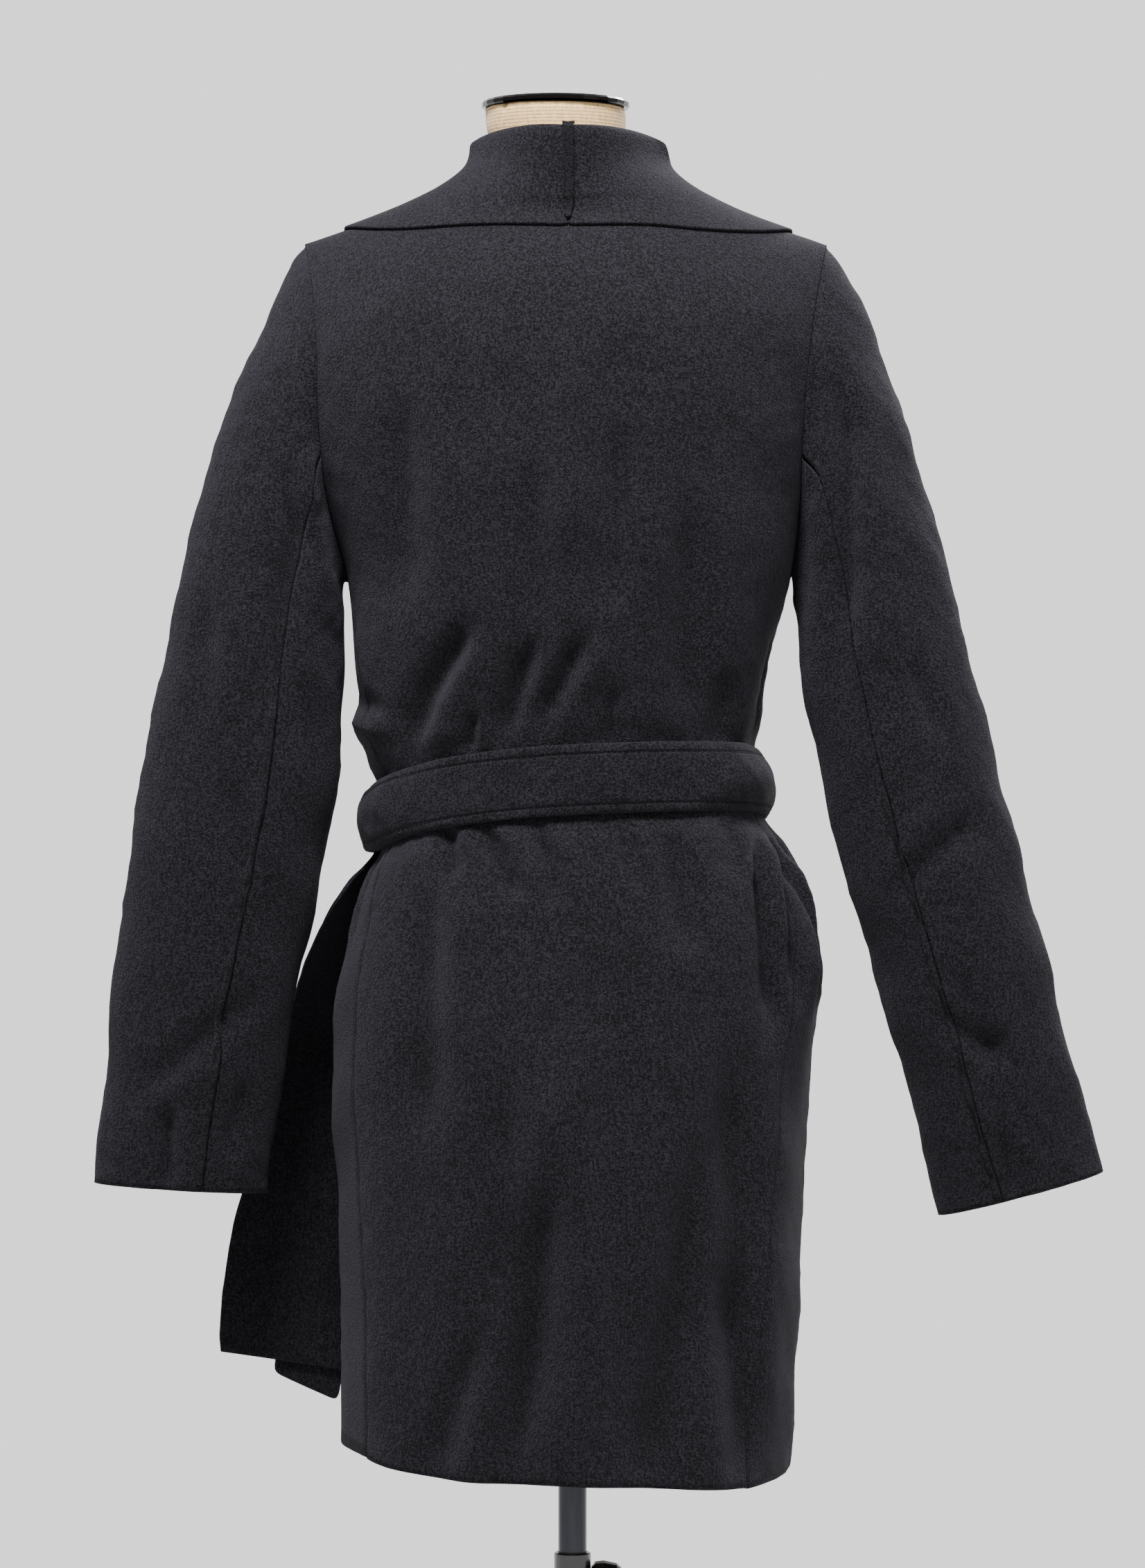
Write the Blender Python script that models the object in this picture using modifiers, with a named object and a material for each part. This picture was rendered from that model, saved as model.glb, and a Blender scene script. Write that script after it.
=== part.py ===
"""A belted wrap coat in boiled wool on a limbless dress form, in metres, with its back towards -Y."""

import functools
import math

import bmesh
import bpy
from mathutils import Vector

MM = 0.001

# Driving dimensions, in metres
WALL = 2.5 * MM
BELT_WALL = 4.0 * MM
BELT_WIDTH = 50 * MM
SEAM_GAP = 0.3 * MM
ARMHOLE_GAP = 1.5 * MM
UNDERARM_GAP = 3.2 * MM
HEM = 612 * MM
ARMPIT = 1235 * MM
NECK_POINT_HEIGHT = 1510 * MM
NECK_POINT_X = 62 * MM
BACK_NECK_DROP = 20 * MM
SHOULDER_CENTRE = -6 * MM
SHOULDER_FALL = 0.33
ROUND_BACK = 105 * MM
ROUND_FRONT = 150 * MM
ROUND_POWER = 2.2
RING_POWER = 2 / 2.2
WAIST = 1085 * MM
WAIST_REACH = 120 * MM
WRAP_LAYER = 9 * MM
WRAP_EASE = math.radians(4)
LEAVE_LOW, LEAVE_HIGH = 188, 250
LEAVE_FROM, LEAVE_TO = 880 * MM, 1032 * MM
FLARE_RADIUS = 150 * MM
LAPEL_LIFT = 4.8 * MM
OVER_LIFT = 6 * MM
LYING_GAP = 0.8 * MM
BELT_GAP = 1.6 * MM
BELT_SETTLE = math.radians(30)
COLLAR_ROLL = 4.4 * MM
LAPEL_ROLL = 2.6 * MM
COLLAR_CENTRE = -3 * MM
COLLAR_RISE = 2.2 * MM
COLLAR_OUT = 1.2 * MM
FALL_LAG, FALL_DROP = 1.6, 3
LAPEL_UP = 2.2
LAPEL_UP_FROM, LAPEL_UP_TO = 1.5, 1.95
SEAM_FLAP_TOP, SEAM_FLAP_END = 0.3, 0.94
SEAM_FLAP_WIDTH = 7.5 * MM
SEAM_FLAP_WALL = 2 * MM
KNOT_ANGLE = math.radians(215)
KNOT_SIZE = (31 * MM, 13 * MM, 29 * MM)
POLE_RADIUS = 10 * MM
POLE_CLEARANCE = 0.4 * MM
OUTER_RADIUS = 11.6 * MM
CLAMP_RADIUS = 13 * MM
CLAMP_TOP = 546 * MM
CLAMP_HEIGHT = 46 * MM
CLAMP_LIP = 4 * MM
POLE_FOOT = 240 * MM
FORM_BOTTOM = 825 * MM
NECK_CENTRE = (-12 * MM, 14 * MM, 0)
NECK_TOP = 1568 * MM
CAP_RADIUS = 52.5 * MM
CAP_HEIGHT = 5.2 * MM
KNOB_RADIUS = 14 * MM
KNOB_HEIGHT = 526 * MM
KNOB_REACH = 22 * MM
BASE_RADIUS = 160 * MM
BASE_HEIGHT = 10 * MM
SHARP_FROM = math.radians(40)

# Finishes: linear colour, roughness, metallic
WOOL = ((0.022, 0.022, 0.025), 0.95, 0)
LINEN = ((0.60, 0.52, 0.41), 0.9, 0)
STEEL = ((0.16, 0.16, 0.17), 0.35, 1)
GLOSS = ((0.012, 0.012, 0.013), 0.25, 0)
CHROME = ((0.35, 0.34, 0.33), 0.2, 1)


class Table:
    """Rows of millimetres or degrees under named columns, read smoothly between rows by the first column."""

    def __init__(self, columns, rows):
        self.columns = columns
        self.rows = rows

    def at(self, name, key):
        col = self.columns.index(name)
        rows = self.rows
        if key <= rows[0][0]:
            return rows[0][col]
        if key >= rows[-1][0]:
            return rows[-1][col]
        i = next(n for n in range(len(rows) - 1) if rows[n + 1][0] >= key)

        def slope(n):
            low, high = rows[max(n - 1, 0)], rows[min(n + 1, len(rows) - 1)]
            return (high[col] - low[col]) / (high[0] - low[0])

        (x0, y0), (x1, y1) = ((rows[n][0], rows[n][col]) for n in (i, i + 1))
        t = (key - x0) / (x1 - x0)
        span = x1 - x0
        return (
            (2 * t**3 - 3 * t**2 + 1) * y0
            + (t**3 - 2 * t**2 + t) * span * slope(i)
            + (3 * t**2 - 2 * t**3) * y1
            + (t**3 - t**2) * span * slope(i + 1)
        )


# The coat's cross-sections: half sizes from the pole's axis, at each height
RINGS = Table(
    ("height", "left", "right", "back", "front"),
    (
        (590, 164, 148, 141, 152),
        (660, 162, 152, 139, 149),
        (760, 164, 157, 134, 142),
        (860, 170, 162, 129, 135),
        (920, 169, 170, 124, 129),
        (960, 164, 173, 119, 124),
        (1000, 156, 167, 112, 118),
        (1035, 147, 152, 103, 109),
        (1060, 138, 134, 97, 103),
        (1085, 136, 131, 96, 102),
        (1110, 138, 128, 98, 104),
        (1135, 148, 130, 104, 114),
        (1165, 151, 135, 108, 124),
        (1200, 155, 146, 112, 132),
        (1240, 157, 155, 115, 135),
        (1285, 175, 163, 117, 132),
        (1335, 188, 170, 116, 124),
        (1380, 193, 178, 113, 113),
        (1420, 196, 184, 107, 102),
        (1460, 198, 188, 98, 90),
        (1521, 198, 188, 84, 74),
    ),
)
# How far the tied belt lies above its mean height, by angle from the middle of the back
BELT_TILT = Table(
    ("angle", "rise"),
    ((-180, -22), (-140, -25), (-90, -22), (-40, -3), (0, 7), (50, 9), (90, 4), (140, -14), (180, -22)),
)
# Side seams, by height: angles from the middle of the back
SIDE_SEAMS = Table(
    ("height", "left", "right"),
    (
        (590, 57, 51),
        (760, 58, 56),
        (950, 62, 62),
        (1060, 68, 72),
        (1130, 70, 78),
        (1190, 80, 84),
        (1235, 90, 90),
    ),
)
# The armhole from the underarm (0) to the shoulder point (1): angles from the back's and the front's middle
ARMHOLE = Table(
    ("rise", "back", "front"),
    (
        (0, 90, 90),
        (0.1, 79, 77),
        (0.2, 71, 68),
        (0.3, 67, 63),
        (0.45, 65, 60),
        (0.6, 66, 61),
        (0.8, 69, 66),
        (1, 72, 72),
    ),
)
# Where each front ends towards the middle, by height: the roll line, then the free edge below the belt
ROLL_LINES = Table(
    ("height", "right_front", "left_front"),
    (
        (590, -254, 118),
        (675, -254, 118),
        (740, -243, 117),
        (800, -230, 116),
        (880, -209, 114),
        (950, -187, 112),
        (1000, -158, 108),
        (1020, -142, 104),
        (1038, -131, 102),
        (1060, -126, 99),
        (1085, -120, 96),
        (1130, -104, 82),
        (1180, -66, 56),
        (1235, -24, 22),
    ),
)
# The same roll lines above the armpit, from the chest (0) to the neck point (1)
NECK_ROLLS = Table(
    ("rise", "right_front", "left_front"),
    ((0, -24, 22), (0.3, 22, -28), (0.6, 44, -52), (1, 61, -67)),
)
# The hem of each panel, by angle from the middle of the back
HEM_BACK = Table(("angle", "height"), ((-60, 623), (-30, 612), (0, 610), (30, 606), (60, 602)))
HEM_LEFT = Table(("angle", "height"), ((-230, 634), (-180, 632), (-100, 628), (-60, 623)))
HEM_RIGHT = Table(("angle", "height"), ((50, 602), (120, 612), (184, 632), (230, 654), (276, 675)))
# The largest soft folds, each a ridge (+) or trough (-) along a line of angle and height
FOLDS = (
    # top_angle, bottom_angle, top_height, bottom_height, half_width, depth
    (-36, -34, 1036, 940, 22, -5),
    (-11, -13, 800, 730, 24, -4),
    (-8, -7, 745, 560, 20, -7),
    (-26, -31, 660, 560, 20, -5),
    (24, 19, 770, 580, 26, -6),
    (3, -3, 900, 800, 30, 4),
    (62, 72, 1035, 930, 20, 6),
    (-50, -54, 960, 560, 26, 4),
    (40, 38, 700, 560, 26, 5),
    (-24, -40, 1200, 1130, 20, -5),
    (-10, -15, 1190, 1132, 18, -4),
    (7, -2, 1190, 1132, 18, -4),
    (28, 30, 1260, 1140, 26, -4),
    (-42, -44, 1345, 1250, 24, -4),
    (140, 150, 960, 560, 30, -7),
    (170, 172, 980, 560, 34, 6),
    (118, 112, 940, 560, 26, 5),
)
FOLD_FADE = 45 * MM
# Heights of the cloth's rows below the armpit, and their count above it
SKIRT_ROWS = (612, 655, 705, 760, 815, 870, 920, 965, 1000, 1025)
WAIST_ROWS = (1045, 1065, 1085, 1105, 1125, 1150, 1190, 1235)
ROWS_ABOVE = 10
RIDGE_TRIM = 0.0012
# Sleeve sections from shoulder to cuff: the ends of each section seen from behind, its depth and centre
SLEEVE_LEFT = Table(
    ("station", "outer_x", "outer_z", "inner_x", "inner_z", "half_depth", "centre_y"),
    (
        (0, -190, 1476, -160, 1236, 50, 0),
        (1, -214, 1425, -162, 1226, 50, 0),
        (2, -244, 1353, -162, 1210, 50, 0),
        (3, -272, 1258, -162, 1185, 48, 0),
        (4, -293, 1155, -162, 1130, 46, 0),
        (5, -311, 1058, -174, 1040, 44, 3),
        (6, -324, 956, -196, 943, 40, 8),
        (7, -334, 856, -211, 845, 36, 14),
        (8, -339, 806, -217, 799, 33, 18),
    ),
)
SLEEVE_RIGHT = Table(
    ("station", "outer_x", "outer_z", "inner_x", "inner_z", "half_depth", "centre_y"),
    (
        (0, 178, 1470, 158, 1234, 50, 0),
        (1, 209, 1414, 160, 1222, 50, 0),
        (2, 243, 1318, 160, 1204, 50, 0),
        (3, 271, 1216, 161, 1172, 48, 0),
        (4, 298, 1107, 177, 1085, 46, 0),
        (5, 325, 1005, 206, 980, 44, 3),
        (6, 346, 923, 232, 895, 40, 8),
        (7, 365, 851, 250, 826, 36, 14),
        (8, 377, 814, 261, 783, 33, 18),
    ),
)
SLEEVE_ROWS = (0, 0.35, 0.75, 1.2, 1.7, 2.2, 2.7, 3.2, 3.8, 4.4, 5.0, 5.7, 6.4, 7.2, 8.0)
LOOP = 2 * ROWS_ABOVE
BACK_SEAM = Table(("station", "column"), ((0, 8), (1.5, 6.6), (3, 6.2), (8, 5.9)))
FRONT_SEAM = Table(("station", "column"), ((0, 12), (1.5, 13.3), (3, 13.6), (8, 13.6)))
SLEEVE_HEAD = 2.2
SEAM_OPEN = 5.5
# The collar round the neck, from the middle of the back to the shoulder ridge: its seam to the neckline, the
# height of its stand, and its edge on the coat as x and a share of the way down from the shoulder ridge
COLLAR = Table(
    ("station", "seam_x", "crown", "edge_x", "edge_down"),
    ((0, 0, 1547, 0, 0.127), (1, 33, 1548, 74, 0.114), (2, 51, 1546, 130, 0.051), (3, 60.5, 1542, 157, 0.002)),
)
COLLAR_STATIONS = (0, 0.5, 1, 1.5, 2, 2.5, 3)
# The lapels below it, by rows of the fronts: the width of the roll and the edge's distance from the middle
LAPELS = Table(
    ("row", "stand", "edge_x"),
    (
        (0.8, 5, -100),
        (0.87, 5, -52),
        (0.93, 5, -6),
        (1, 5, 38),
        (1.2, 6, 96),
        (1.45, 6, 136),
        (1.7, 9, 152),
        (1.9, 17, 158),
    ),
)
LAPEL_FOOT = 0.79
LAPEL_ANGLES = (math.radians(95), math.radians(290))
STAND_COLUMNS, ROLL_COLUMNS, FALL_COLUMNS = 2, 4, 5
# The belt's hanging ends, by height: the middle of each strip from the pole's axis, and its slanted tip
LONG_END = Table(("height", "x"), ((650, -194), (800, -163), (950, -127), (1028, -108)))
SHORT_END = Table(("height", "x"), ((740, -38), (900, -46), (1028, -55)))
LONG_TIP = (659 * MM, 636 * MM)
SHORT_TIP = (748 * MM, 736 * MM)
LONG_TOP, SHORT_TOP = 1028 * MM, 1034.6 * MM
# The dress form: half sizes of its rings and their middle, from the pole's axis
FORM = Table(
    ("height", "half_width", "back", "front", "centre_x", "centre_y"),
    (
        (825, 132, 92, 96, 0, 0),
        (832, 139, 99, 103, 0, 0),
        (870, 146, 105, 110, 0, 0),
        (950, 146, 104, 108, 0, 0),
        (1040, 124, 84, 90, 0, 0),
        (1085, 116, 78, 86, 0, 0),
        (1160, 126, 92, 104, 0, 0),
        (1260, 138, 102, 120, -2, 0),
        (1340, 148, 102, 106, -4, 0),
        (1400, 157, 94, 88, -6, 0),
        (1440, 161, 82, 72, -6, 0),
        (1462, 160, 66, 54, -6, 0),
        (1475, 156, 56, 44, -6, 0),
        (1482, 138.5, 47, 37, -6, 0),
        (1490, 115, 41, 33, -6, 1),
        (1497, 92, 35, 30, -6, 2),
        (1503, 68.5, 31, 28, -6, 4),
        (1509, 46, 31, 30, -6.5, 6),
        (1515, 42, 34, 34, -7, 8),
        (1526, 43, 39, 43, -7.5, 10),
        (1538, 45, 44, 48, -8.5, 12),
        (1548, 50, 49.5, 50, -11.7, 13.5),
        (1568, 50.5, 50.5, 50.5, -12, 14),
    ),
)
FORM_SIDES = 24


def spow(value, power):
    return math.copysign(abs(value) ** power, value)


def blend(low, high, value):
    t = min(max((value - low) / (high - low), 0), 1)
    return t * t * (3 - 2 * t)


def mix(a, b, t):
    return a + (b - a) * t


def shoulder_height(x):
    reach = max(abs(x - SHOULDER_CENTRE), NECK_POINT_X)
    return NECK_POINT_HEIGHT - (reach - NECK_POINT_X) * SHOULDER_FALL


def belt_height(angle):
    turned = (math.degrees(angle) + 180) % 360 - 180
    return WAIST + BELT_TILT.at("rise", turned) * MM


def fold_depth(angle, height):
    """Outward displacement of the cloth by its folds."""
    total = 0
    for top_angle, bottom_angle, top, bottom, half_width, depth in FOLDS:
        top, bottom = top * MM, bottom * MM
        along = min(max((top - height) / (top - bottom), 0), 1)
        middle = math.radians(mix(top_angle, bottom_angle, along))
        apart = (angle - middle + math.pi) % (2 * math.pi) - math.pi
        across = apart * WAIST_REACH / (half_width * MM)
        fade = blend(bottom - FOLD_FADE, bottom + FOLD_FADE, height)
        fade *= 1 - blend(top - FOLD_FADE, top, height)
        total += depth * MM * math.exp(-across * across) * fade
    return total


def ring_point(angle, height):
    """A point of the coat's form at an angle from the middle of the back, +X positive, at a height."""
    tilt = (belt_height(angle) - WAIST) * math.exp(-(((height - WAIST) / WAIST_REACH) ** 2))
    level = (height - tilt) / MM
    side, face = math.sin(angle), math.cos(angle)
    half = RINGS.at("right" if side > 0 else "left", level) * MM
    depth = RINGS.at("back" if face > 0 else "front", level) * MM
    out = fold_depth(angle, height)
    x = half * spow(side, RING_POWER) + out * side
    round_off = ROUND_BACK if face > 0 else ROUND_FRONT
    share = min(max((shoulder_height(x) - height) / round_off, 0), 1)
    rise = (1 - (1 - share) ** ROUND_POWER) ** (1 / ROUND_POWER)
    return Vector((x, -(depth * spow(face, RING_POWER) + out * face) * rise, height))


def body_point(angle, row, hem):
    """The coat's form by rows: 0 the hem, 1 the armpit, 2 the shoulder ridge."""
    if row <= 1:
        height = mix(HEM, ARMPIT, row)
        lift = hem.at("height", math.degrees(angle)) * MM - HEM
        return ring_point(angle, height + lift * (1 - row) ** 2)
    left = (2 - row) ** 2
    height = ARMPIT
    for _ in range(6):
        height = mix(shoulder_height(ring_point(angle, height).x), ARMPIT, left)
    return ring_point(angle, height)


def overlap_point(angle, row):
    """The upper front: on the coat's form, and below the belt straight on past the left side."""
    height = body_point(angle, row, HEM_RIGHT).z
    leave = math.radians(mix(LEAVE_LOW, LEAVE_HIGH, blend(LEAVE_FROM, LEAVE_TO, height)))
    if angle <= leave:
        return body_point(angle, row, HEM_RIGHT)
    step = 0.02
    start = body_point(leave, row, HEM_RIGHT)
    along = (start - body_point(leave - step, row, HEM_RIGHT)).normalized()
    along.z = 0
    point = start + along * (angle - leave) * FLARE_RADIUS
    point.z = height
    return point


def normal_of(surface, a, b, step_a=0.01, step_b=0.004):
    across = surface(a + step_a, b) - surface(a - step_a, b)
    up = surface(a, b + step_b) - surface(a, b - step_b)
    return across.cross(up).normalized()


def solve(function, low, high):
    """The argument where a rising function crosses zero."""
    for _ in range(40):
        middle = (low + high) / 2
        if function(middle) < 0:
            low = middle
        else:
            high = middle
    return (low + high) / 2


def row_values():
    below = [(h * MM - HEM) / (ARMPIT - HEM) for h in SKIRT_ROWS + WAIST_ROWS]
    above = [1 + (n + 1) / ROWS_ABOVE for n in range(ROWS_ABOVE)]
    above[-1] -= RIDGE_TRIM
    return below + above


ROWS = row_values()
LAPEL_ROWS = [row for row in reversed(ROWS[:-1]) if row > LAPEL_FOOT]
SEAM_TRIM = SEAM_GAP / (1.5 * WAIST_REACH)


def row_at(v):
    place = v * (len(ROWS) - 1)
    i = min(int(place), len(ROWS) - 2)
    return mix(ROWS[i], ROWS[i + 1], place - i)


def seam_angle(side, row):
    """The angle of the side seam or, above the armpit, of the armhole on the back."""
    if row <= 1:
        return math.radians(SIDE_SEAMS.at(side, mix(HEM, ARMPIT, row) / MM))
    return math.radians(ARMHOLE.at("back", row - 1))


def front_seam_angle(side, row):
    if row <= 1:
        return seam_angle(side, row)
    return math.pi - math.radians(ARMHOLE.at("front", row - 1))


def roll_x(front, row):
    if row <= 1:
        return ROLL_LINES.at(front, mix(HEM, ARMPIT, row) / MM) * MM
    return NECK_ROLLS.at(front, row - 1) * MM


COLLECTION = bpy.data.collections.new("wrap_coat_on_form")


def material(name, finish):
    colour, roughness, metallic = finish
    made = bpy.data.materials.new(name)
    made.use_nodes = True
    shader = made.node_tree.nodes["Principled BSDF"]
    shader.inputs["Base Color"].default_value = (*colour, 1)
    shader.inputs["Roughness"].default_value = roughness
    shader.inputs["Metallic"].default_value = metallic
    return made


def add_object(name, mesh_maker, finish):
    """A named object from a bmesh, with a material of its own."""
    bmesh.ops.recalc_face_normals(mesh_maker, faces=mesh_maker.faces)
    if mesh_maker.calc_volume(signed=True) < 0:
        bmesh.ops.reverse_faces(mesh_maker, faces=mesh_maker.faces)
    mesh = bpy.data.meshes.new(name)
    mesh_maker.to_mesh(mesh)
    mesh_maker.free()
    mesh.shade_smooth()
    mesh.set_sharp_from_angle(angle=SHARP_FROM)
    mesh.materials.append(material(name, finish))
    made = bpy.data.objects.new(name, mesh)
    COLLECTION.objects.link(made)
    return made


def cloth_wall(name, columns, rows, shape):
    """A closed wall: an extruded grid whose points are placed by shape(u, v, w), with w through the wall."""
    bm = bmesh.new()
    bmesh.ops.create_grid(bm, x_segments=columns, y_segments=rows, size=0.5)
    raised = bmesh.ops.extrude_face_region(bm, geom=bm.faces[:], use_keep_orig=True)
    for item in raised["geom"]:
        if isinstance(item, bmesh.types.BMVert):
            item.co.z = 1
    for vert in bm.verts:
        vert.co = shape(vert.co.x + 0.5, vert.co.y + 0.5, vert.co.z)
    return add_object(name, bm, WOOL)


def through(w):
    return (w - 0.5) * WALL


def back_point(angle, row):
    return body_point(angle, row, HEM_BACK)


def back_row(angle, row):
    """The back's rows, which stop short of the shoulder ridge at the neckline."""
    if row <= 1:
        return row
    near = max(1 - abs(back_point(angle, row).x - SHOULDER_CENTRE) / NECK_POINT_X, 0)
    short = math.sqrt(BACK_NECK_DROP / (NECK_POINT_HEIGHT - ARMPIT)) * blend(0, 0.8, near)
    return mix(1, row, 1 - short * (row - 1) ** 3)


def make_back():
    def shape(u, v, w):
        row = row_at(v)
        angle = mix(SEAM_TRIM - seam_angle("left", row), seam_angle("right", row) - SEAM_TRIM, u)
        row = back_row(angle, row)
        return back_point(angle, row) + normal_of(back_point, angle, row) * through(w)

    return cloth_wall("back", 18, len(ROWS) - 1, shape)


def left_point(angle, row):
    return body_point(angle, row, HEM_LEFT)


@functools.cache
def left_edge(row):
    target = roll_x("left_front", row)
    return solve(lambda a: target - left_point(a, row).x, -math.radians(250), -math.radians(120))


@functools.cache
def overlap_edge(row):
    target = roll_x("right_front", row)
    return solve(lambda a: target - overlap_point(a, row).x, math.radians(110), math.radians(310))


def wrap_layer(angle, row):
    """How far the upper front stands out over the lower front."""
    start = front_seam_angle("right", row) + WRAP_EASE
    end = min(left_edge(row) + math.tau, math.pi) - WRAP_EASE
    return WRAP_LAYER * blend(start, end, angle) * (1 - blend(1.1, 1.5, row))


def front_wall(name, side, columns, surface, edge, layer):
    sign = -1 if side == "left" else 1

    def shape(u, v, w):
        row = row_at(v)
        angle = mix(sign * (front_seam_angle(side, row) + SEAM_TRIM), edge(row), u)
        return surface(angle, row) + normal_of(surface, angle, row) * (layer(angle, row) + through(w))

    return cloth_wall(name, columns, len(ROWS) - 1, shape)


def make_fronts():
    return [
        front_wall("front_left", "left", 14, left_point, left_edge, lambda angle, row: 0),
        front_wall("front_right", "right", 18, overlap_point, overlap_edge, wrap_layer),
    ]


def armhole_point(side, column):
    """The armhole as a loop: column 0 at the shoulder, a quarter on the back, half at the underarm."""
    column %= LOOP
    sign = -1 if side == "left" else 1
    if column <= ROWS_ABOVE:
        rise = 1 - column / ROWS_ABOVE
        angle = math.radians(ARMHOLE.at("back", rise))
    else:
        rise = column / ROWS_ABOVE - 1
        angle = math.pi - math.radians(ARMHOLE.at("front", rise))
    point = back_point(sign * angle, 1 + rise)
    low = (1 - math.cos(2 * math.pi * column / LOOP)) / 2
    point.x += sign * mix(ARMHOLE_GAP, UNDERARM_GAP, low**3)
    return point


def sleeve_turn(station, column):
    """The angle of a column round the sleeve: spaced as the armhole's points are, then evenly."""
    folded = (column + LOOP / 2) % LOOP - LOOP / 2
    spaced = math.copysign(2 * math.asin(min(abs(folded) / ROWS_ABOVE, 1)), folded)
    spaced += math.tau * (column - folded) / LOOP
    return mix(spaced, math.tau * column / LOOP, blend(0, SLEEVE_HEAD, station))


def sleeve_section(table, station, column):
    turn = sleeve_turn(station, column)
    outer, inner = (
        Vector((table.at(end + "_x", station), 0, table.at(end + "_z", station))) * MM
        for end in ("outer", "inner")
    )
    centre = (outer + inner) / 2 + Vector((0, table.at("centre_y", station) * MM, 0))
    depth = table.at("half_depth", station) * MM
    return centre + (outer - inner) / 2 * math.cos(turn) - Vector((0, depth * math.sin(turn), 0))


def sleeve_point(side, station, column):
    table = SLEEVE_LEFT if side == "left" else SLEEVE_RIGHT
    drawn = armhole_point(side, column) - sleeve_section(table, 0, column)
    return sleeve_section(table, station, column) + drawn * (1 - blend(0, SLEEVE_HEAD, station))


def make_sleeve(side, piece, columns, start, end):
    sign = -1 if side == "left" else 1
    trim = SEAM_GAP / (18 * MM)

    def surface(column, station):
        return sleeve_point(side, max(station, 0), column)

    def shape(u, v, w):
        place = v * (len(SLEEVE_ROWS) - 1)
        i = min(int(place), len(SLEEVE_ROWS) - 2)
        station = mix(SLEEVE_ROWS[i], SLEEVE_ROWS[i + 1], place - i)
        open_by = trim * (0.5 + SEAM_OPEN * (1 - blend(0, 1.5, station)))
        column = mix(start(station) + open_by, end(station) - open_by, u)
        normal = normal_of(surface, column, station, 0.05, 0.05) * sign
        return surface(column, station) + normal * through(w)

    return cloth_wall(f"sleeve_{side}_{piece}", columns, len(SLEEVE_ROWS) - 1, shape)


def make_sleeves(side):
    def back_seam(station):
        return BACK_SEAM.at("column", station)

    def front_seam(station):
        return FRONT_SEAM.at("column", station)

    upper = make_sleeve(side, "upper", 16, lambda station: front_seam(station) - LOOP, back_seam)
    under = make_sleeve(side, "under", 8, back_seam, front_seam)
    return [upper, under]


def spline(points, place):
    """A smooth curve through points, at a fractional index."""
    i = min(int(place), len(points) - 2)
    t = place - i
    before, start, end, after = (points[min(max(n, 0), len(points) - 1)] for n in (i - 1, i, i + 1, i + 2))
    return 0.5 * (
        2 * start
        + (end - before) * t
        + (2 * before - 5 * start + 4 * end - after) * t**2
        + (3 * start - before - 3 * end + after) * t**3
    )


def shoulder_place(x, down):
    """The angle and row of the back at x, a share of the way down from the shoulder ridge."""
    row = 2 - math.sqrt(down)
    return solve(lambda a: back_point(a, row).x - x, -math.pi / 2, math.pi / 2), row


def neckline_angle(x):
    return solve(lambda a: back_point(a, back_row(a, ROWS[-1])).x - x, -math.pi / 3, math.pi / 3)


def neck_guide(side, station):
    """The collar round the neck: its seam, way up, stand, way out, roll, and the coat under its fall."""
    sign = -1 if side == "left" else 1
    angle = neckline_angle(COLLAR_CENTRE + sign * COLLAR.at("seam_x", station) * MM)
    row = back_row(angle, ROWS[-1])
    seam = back_point(angle, row)
    out = Vector((seam.x - COLLAR_CENTRE, seam.y, 0)).normalized()
    seam = seam + Vector((0, 0, COLLAR_RISE)) + out * COLLAR_OUT
    stand = COLLAR.at("crown", station) * MM - seam.z
    edge_x, edge_down = COLLAR.at("edge_x", station) * MM, COLLAR.at("edge_down", station)
    under = []
    for n in range(FALL_COLUMNS + 1):
        t = n / FALL_COLUMNS
        x = COLLAR_CENTRE + sign * mix(COLLAR.at("seam_x", station) * MM, edge_x, t)
        place = shoulder_place(x, mix((2 - row) ** 2, edge_down, t))
        under.append(back_point(*place) + normal_of(back_point, *place) * LAPEL_LIFT)
    return seam, Vector((0, 0, 1)), stand, out, COLLAR_ROLL, under


def lapel_guide(side, row):
    """The same for the lapel, which rolls back over the edge of its front."""
    sign = -1 if side == "left" else 1
    surface, edge_of = (left_point, left_edge) if side == "left" else (overlap_point, overlap_edge)

    def lying(angle, lift):
        layer = wrap_layer(angle, row) if side == "right" else 0
        return surface(angle, row) + normal_of(surface, angle, row) * (layer + lift)

    angle = edge_of(row)
    inward = (surface(angle + sign * 0.01, row) - surface(angle, row)).normalized()
    target = COLLAR_CENTRE + sign * LAPELS.at("edge_x", row) * MM
    far = sign * solve(lambda a: sign * (target - surface(sign * a, row).x), *LAPEL_ANGLES)
    lift = LAPEL_LIFT if side == "left" else mix(OVER_LIFT, LAPEL_LIFT, blend(1.5, 1.9, row))
    under = [lying(mix(angle, far, n / FALL_COLUMNS), lift) for n in range(FALL_COLUMNS + 1)]
    raised = blend(LAPEL_UP_FROM, LAPEL_UP_TO, row)
    seam = lying(angle, 0) + inward * (SEAM_GAP * 2.5 + WALL * 0.8 * raised)
    up = (inward + Vector((0, 0, LAPEL_UP * raised))).normalized()
    return seam, up, LAPELS.at("stand", row) * MM, normal_of(surface, angle, row), LAPEL_ROLL, under


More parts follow.
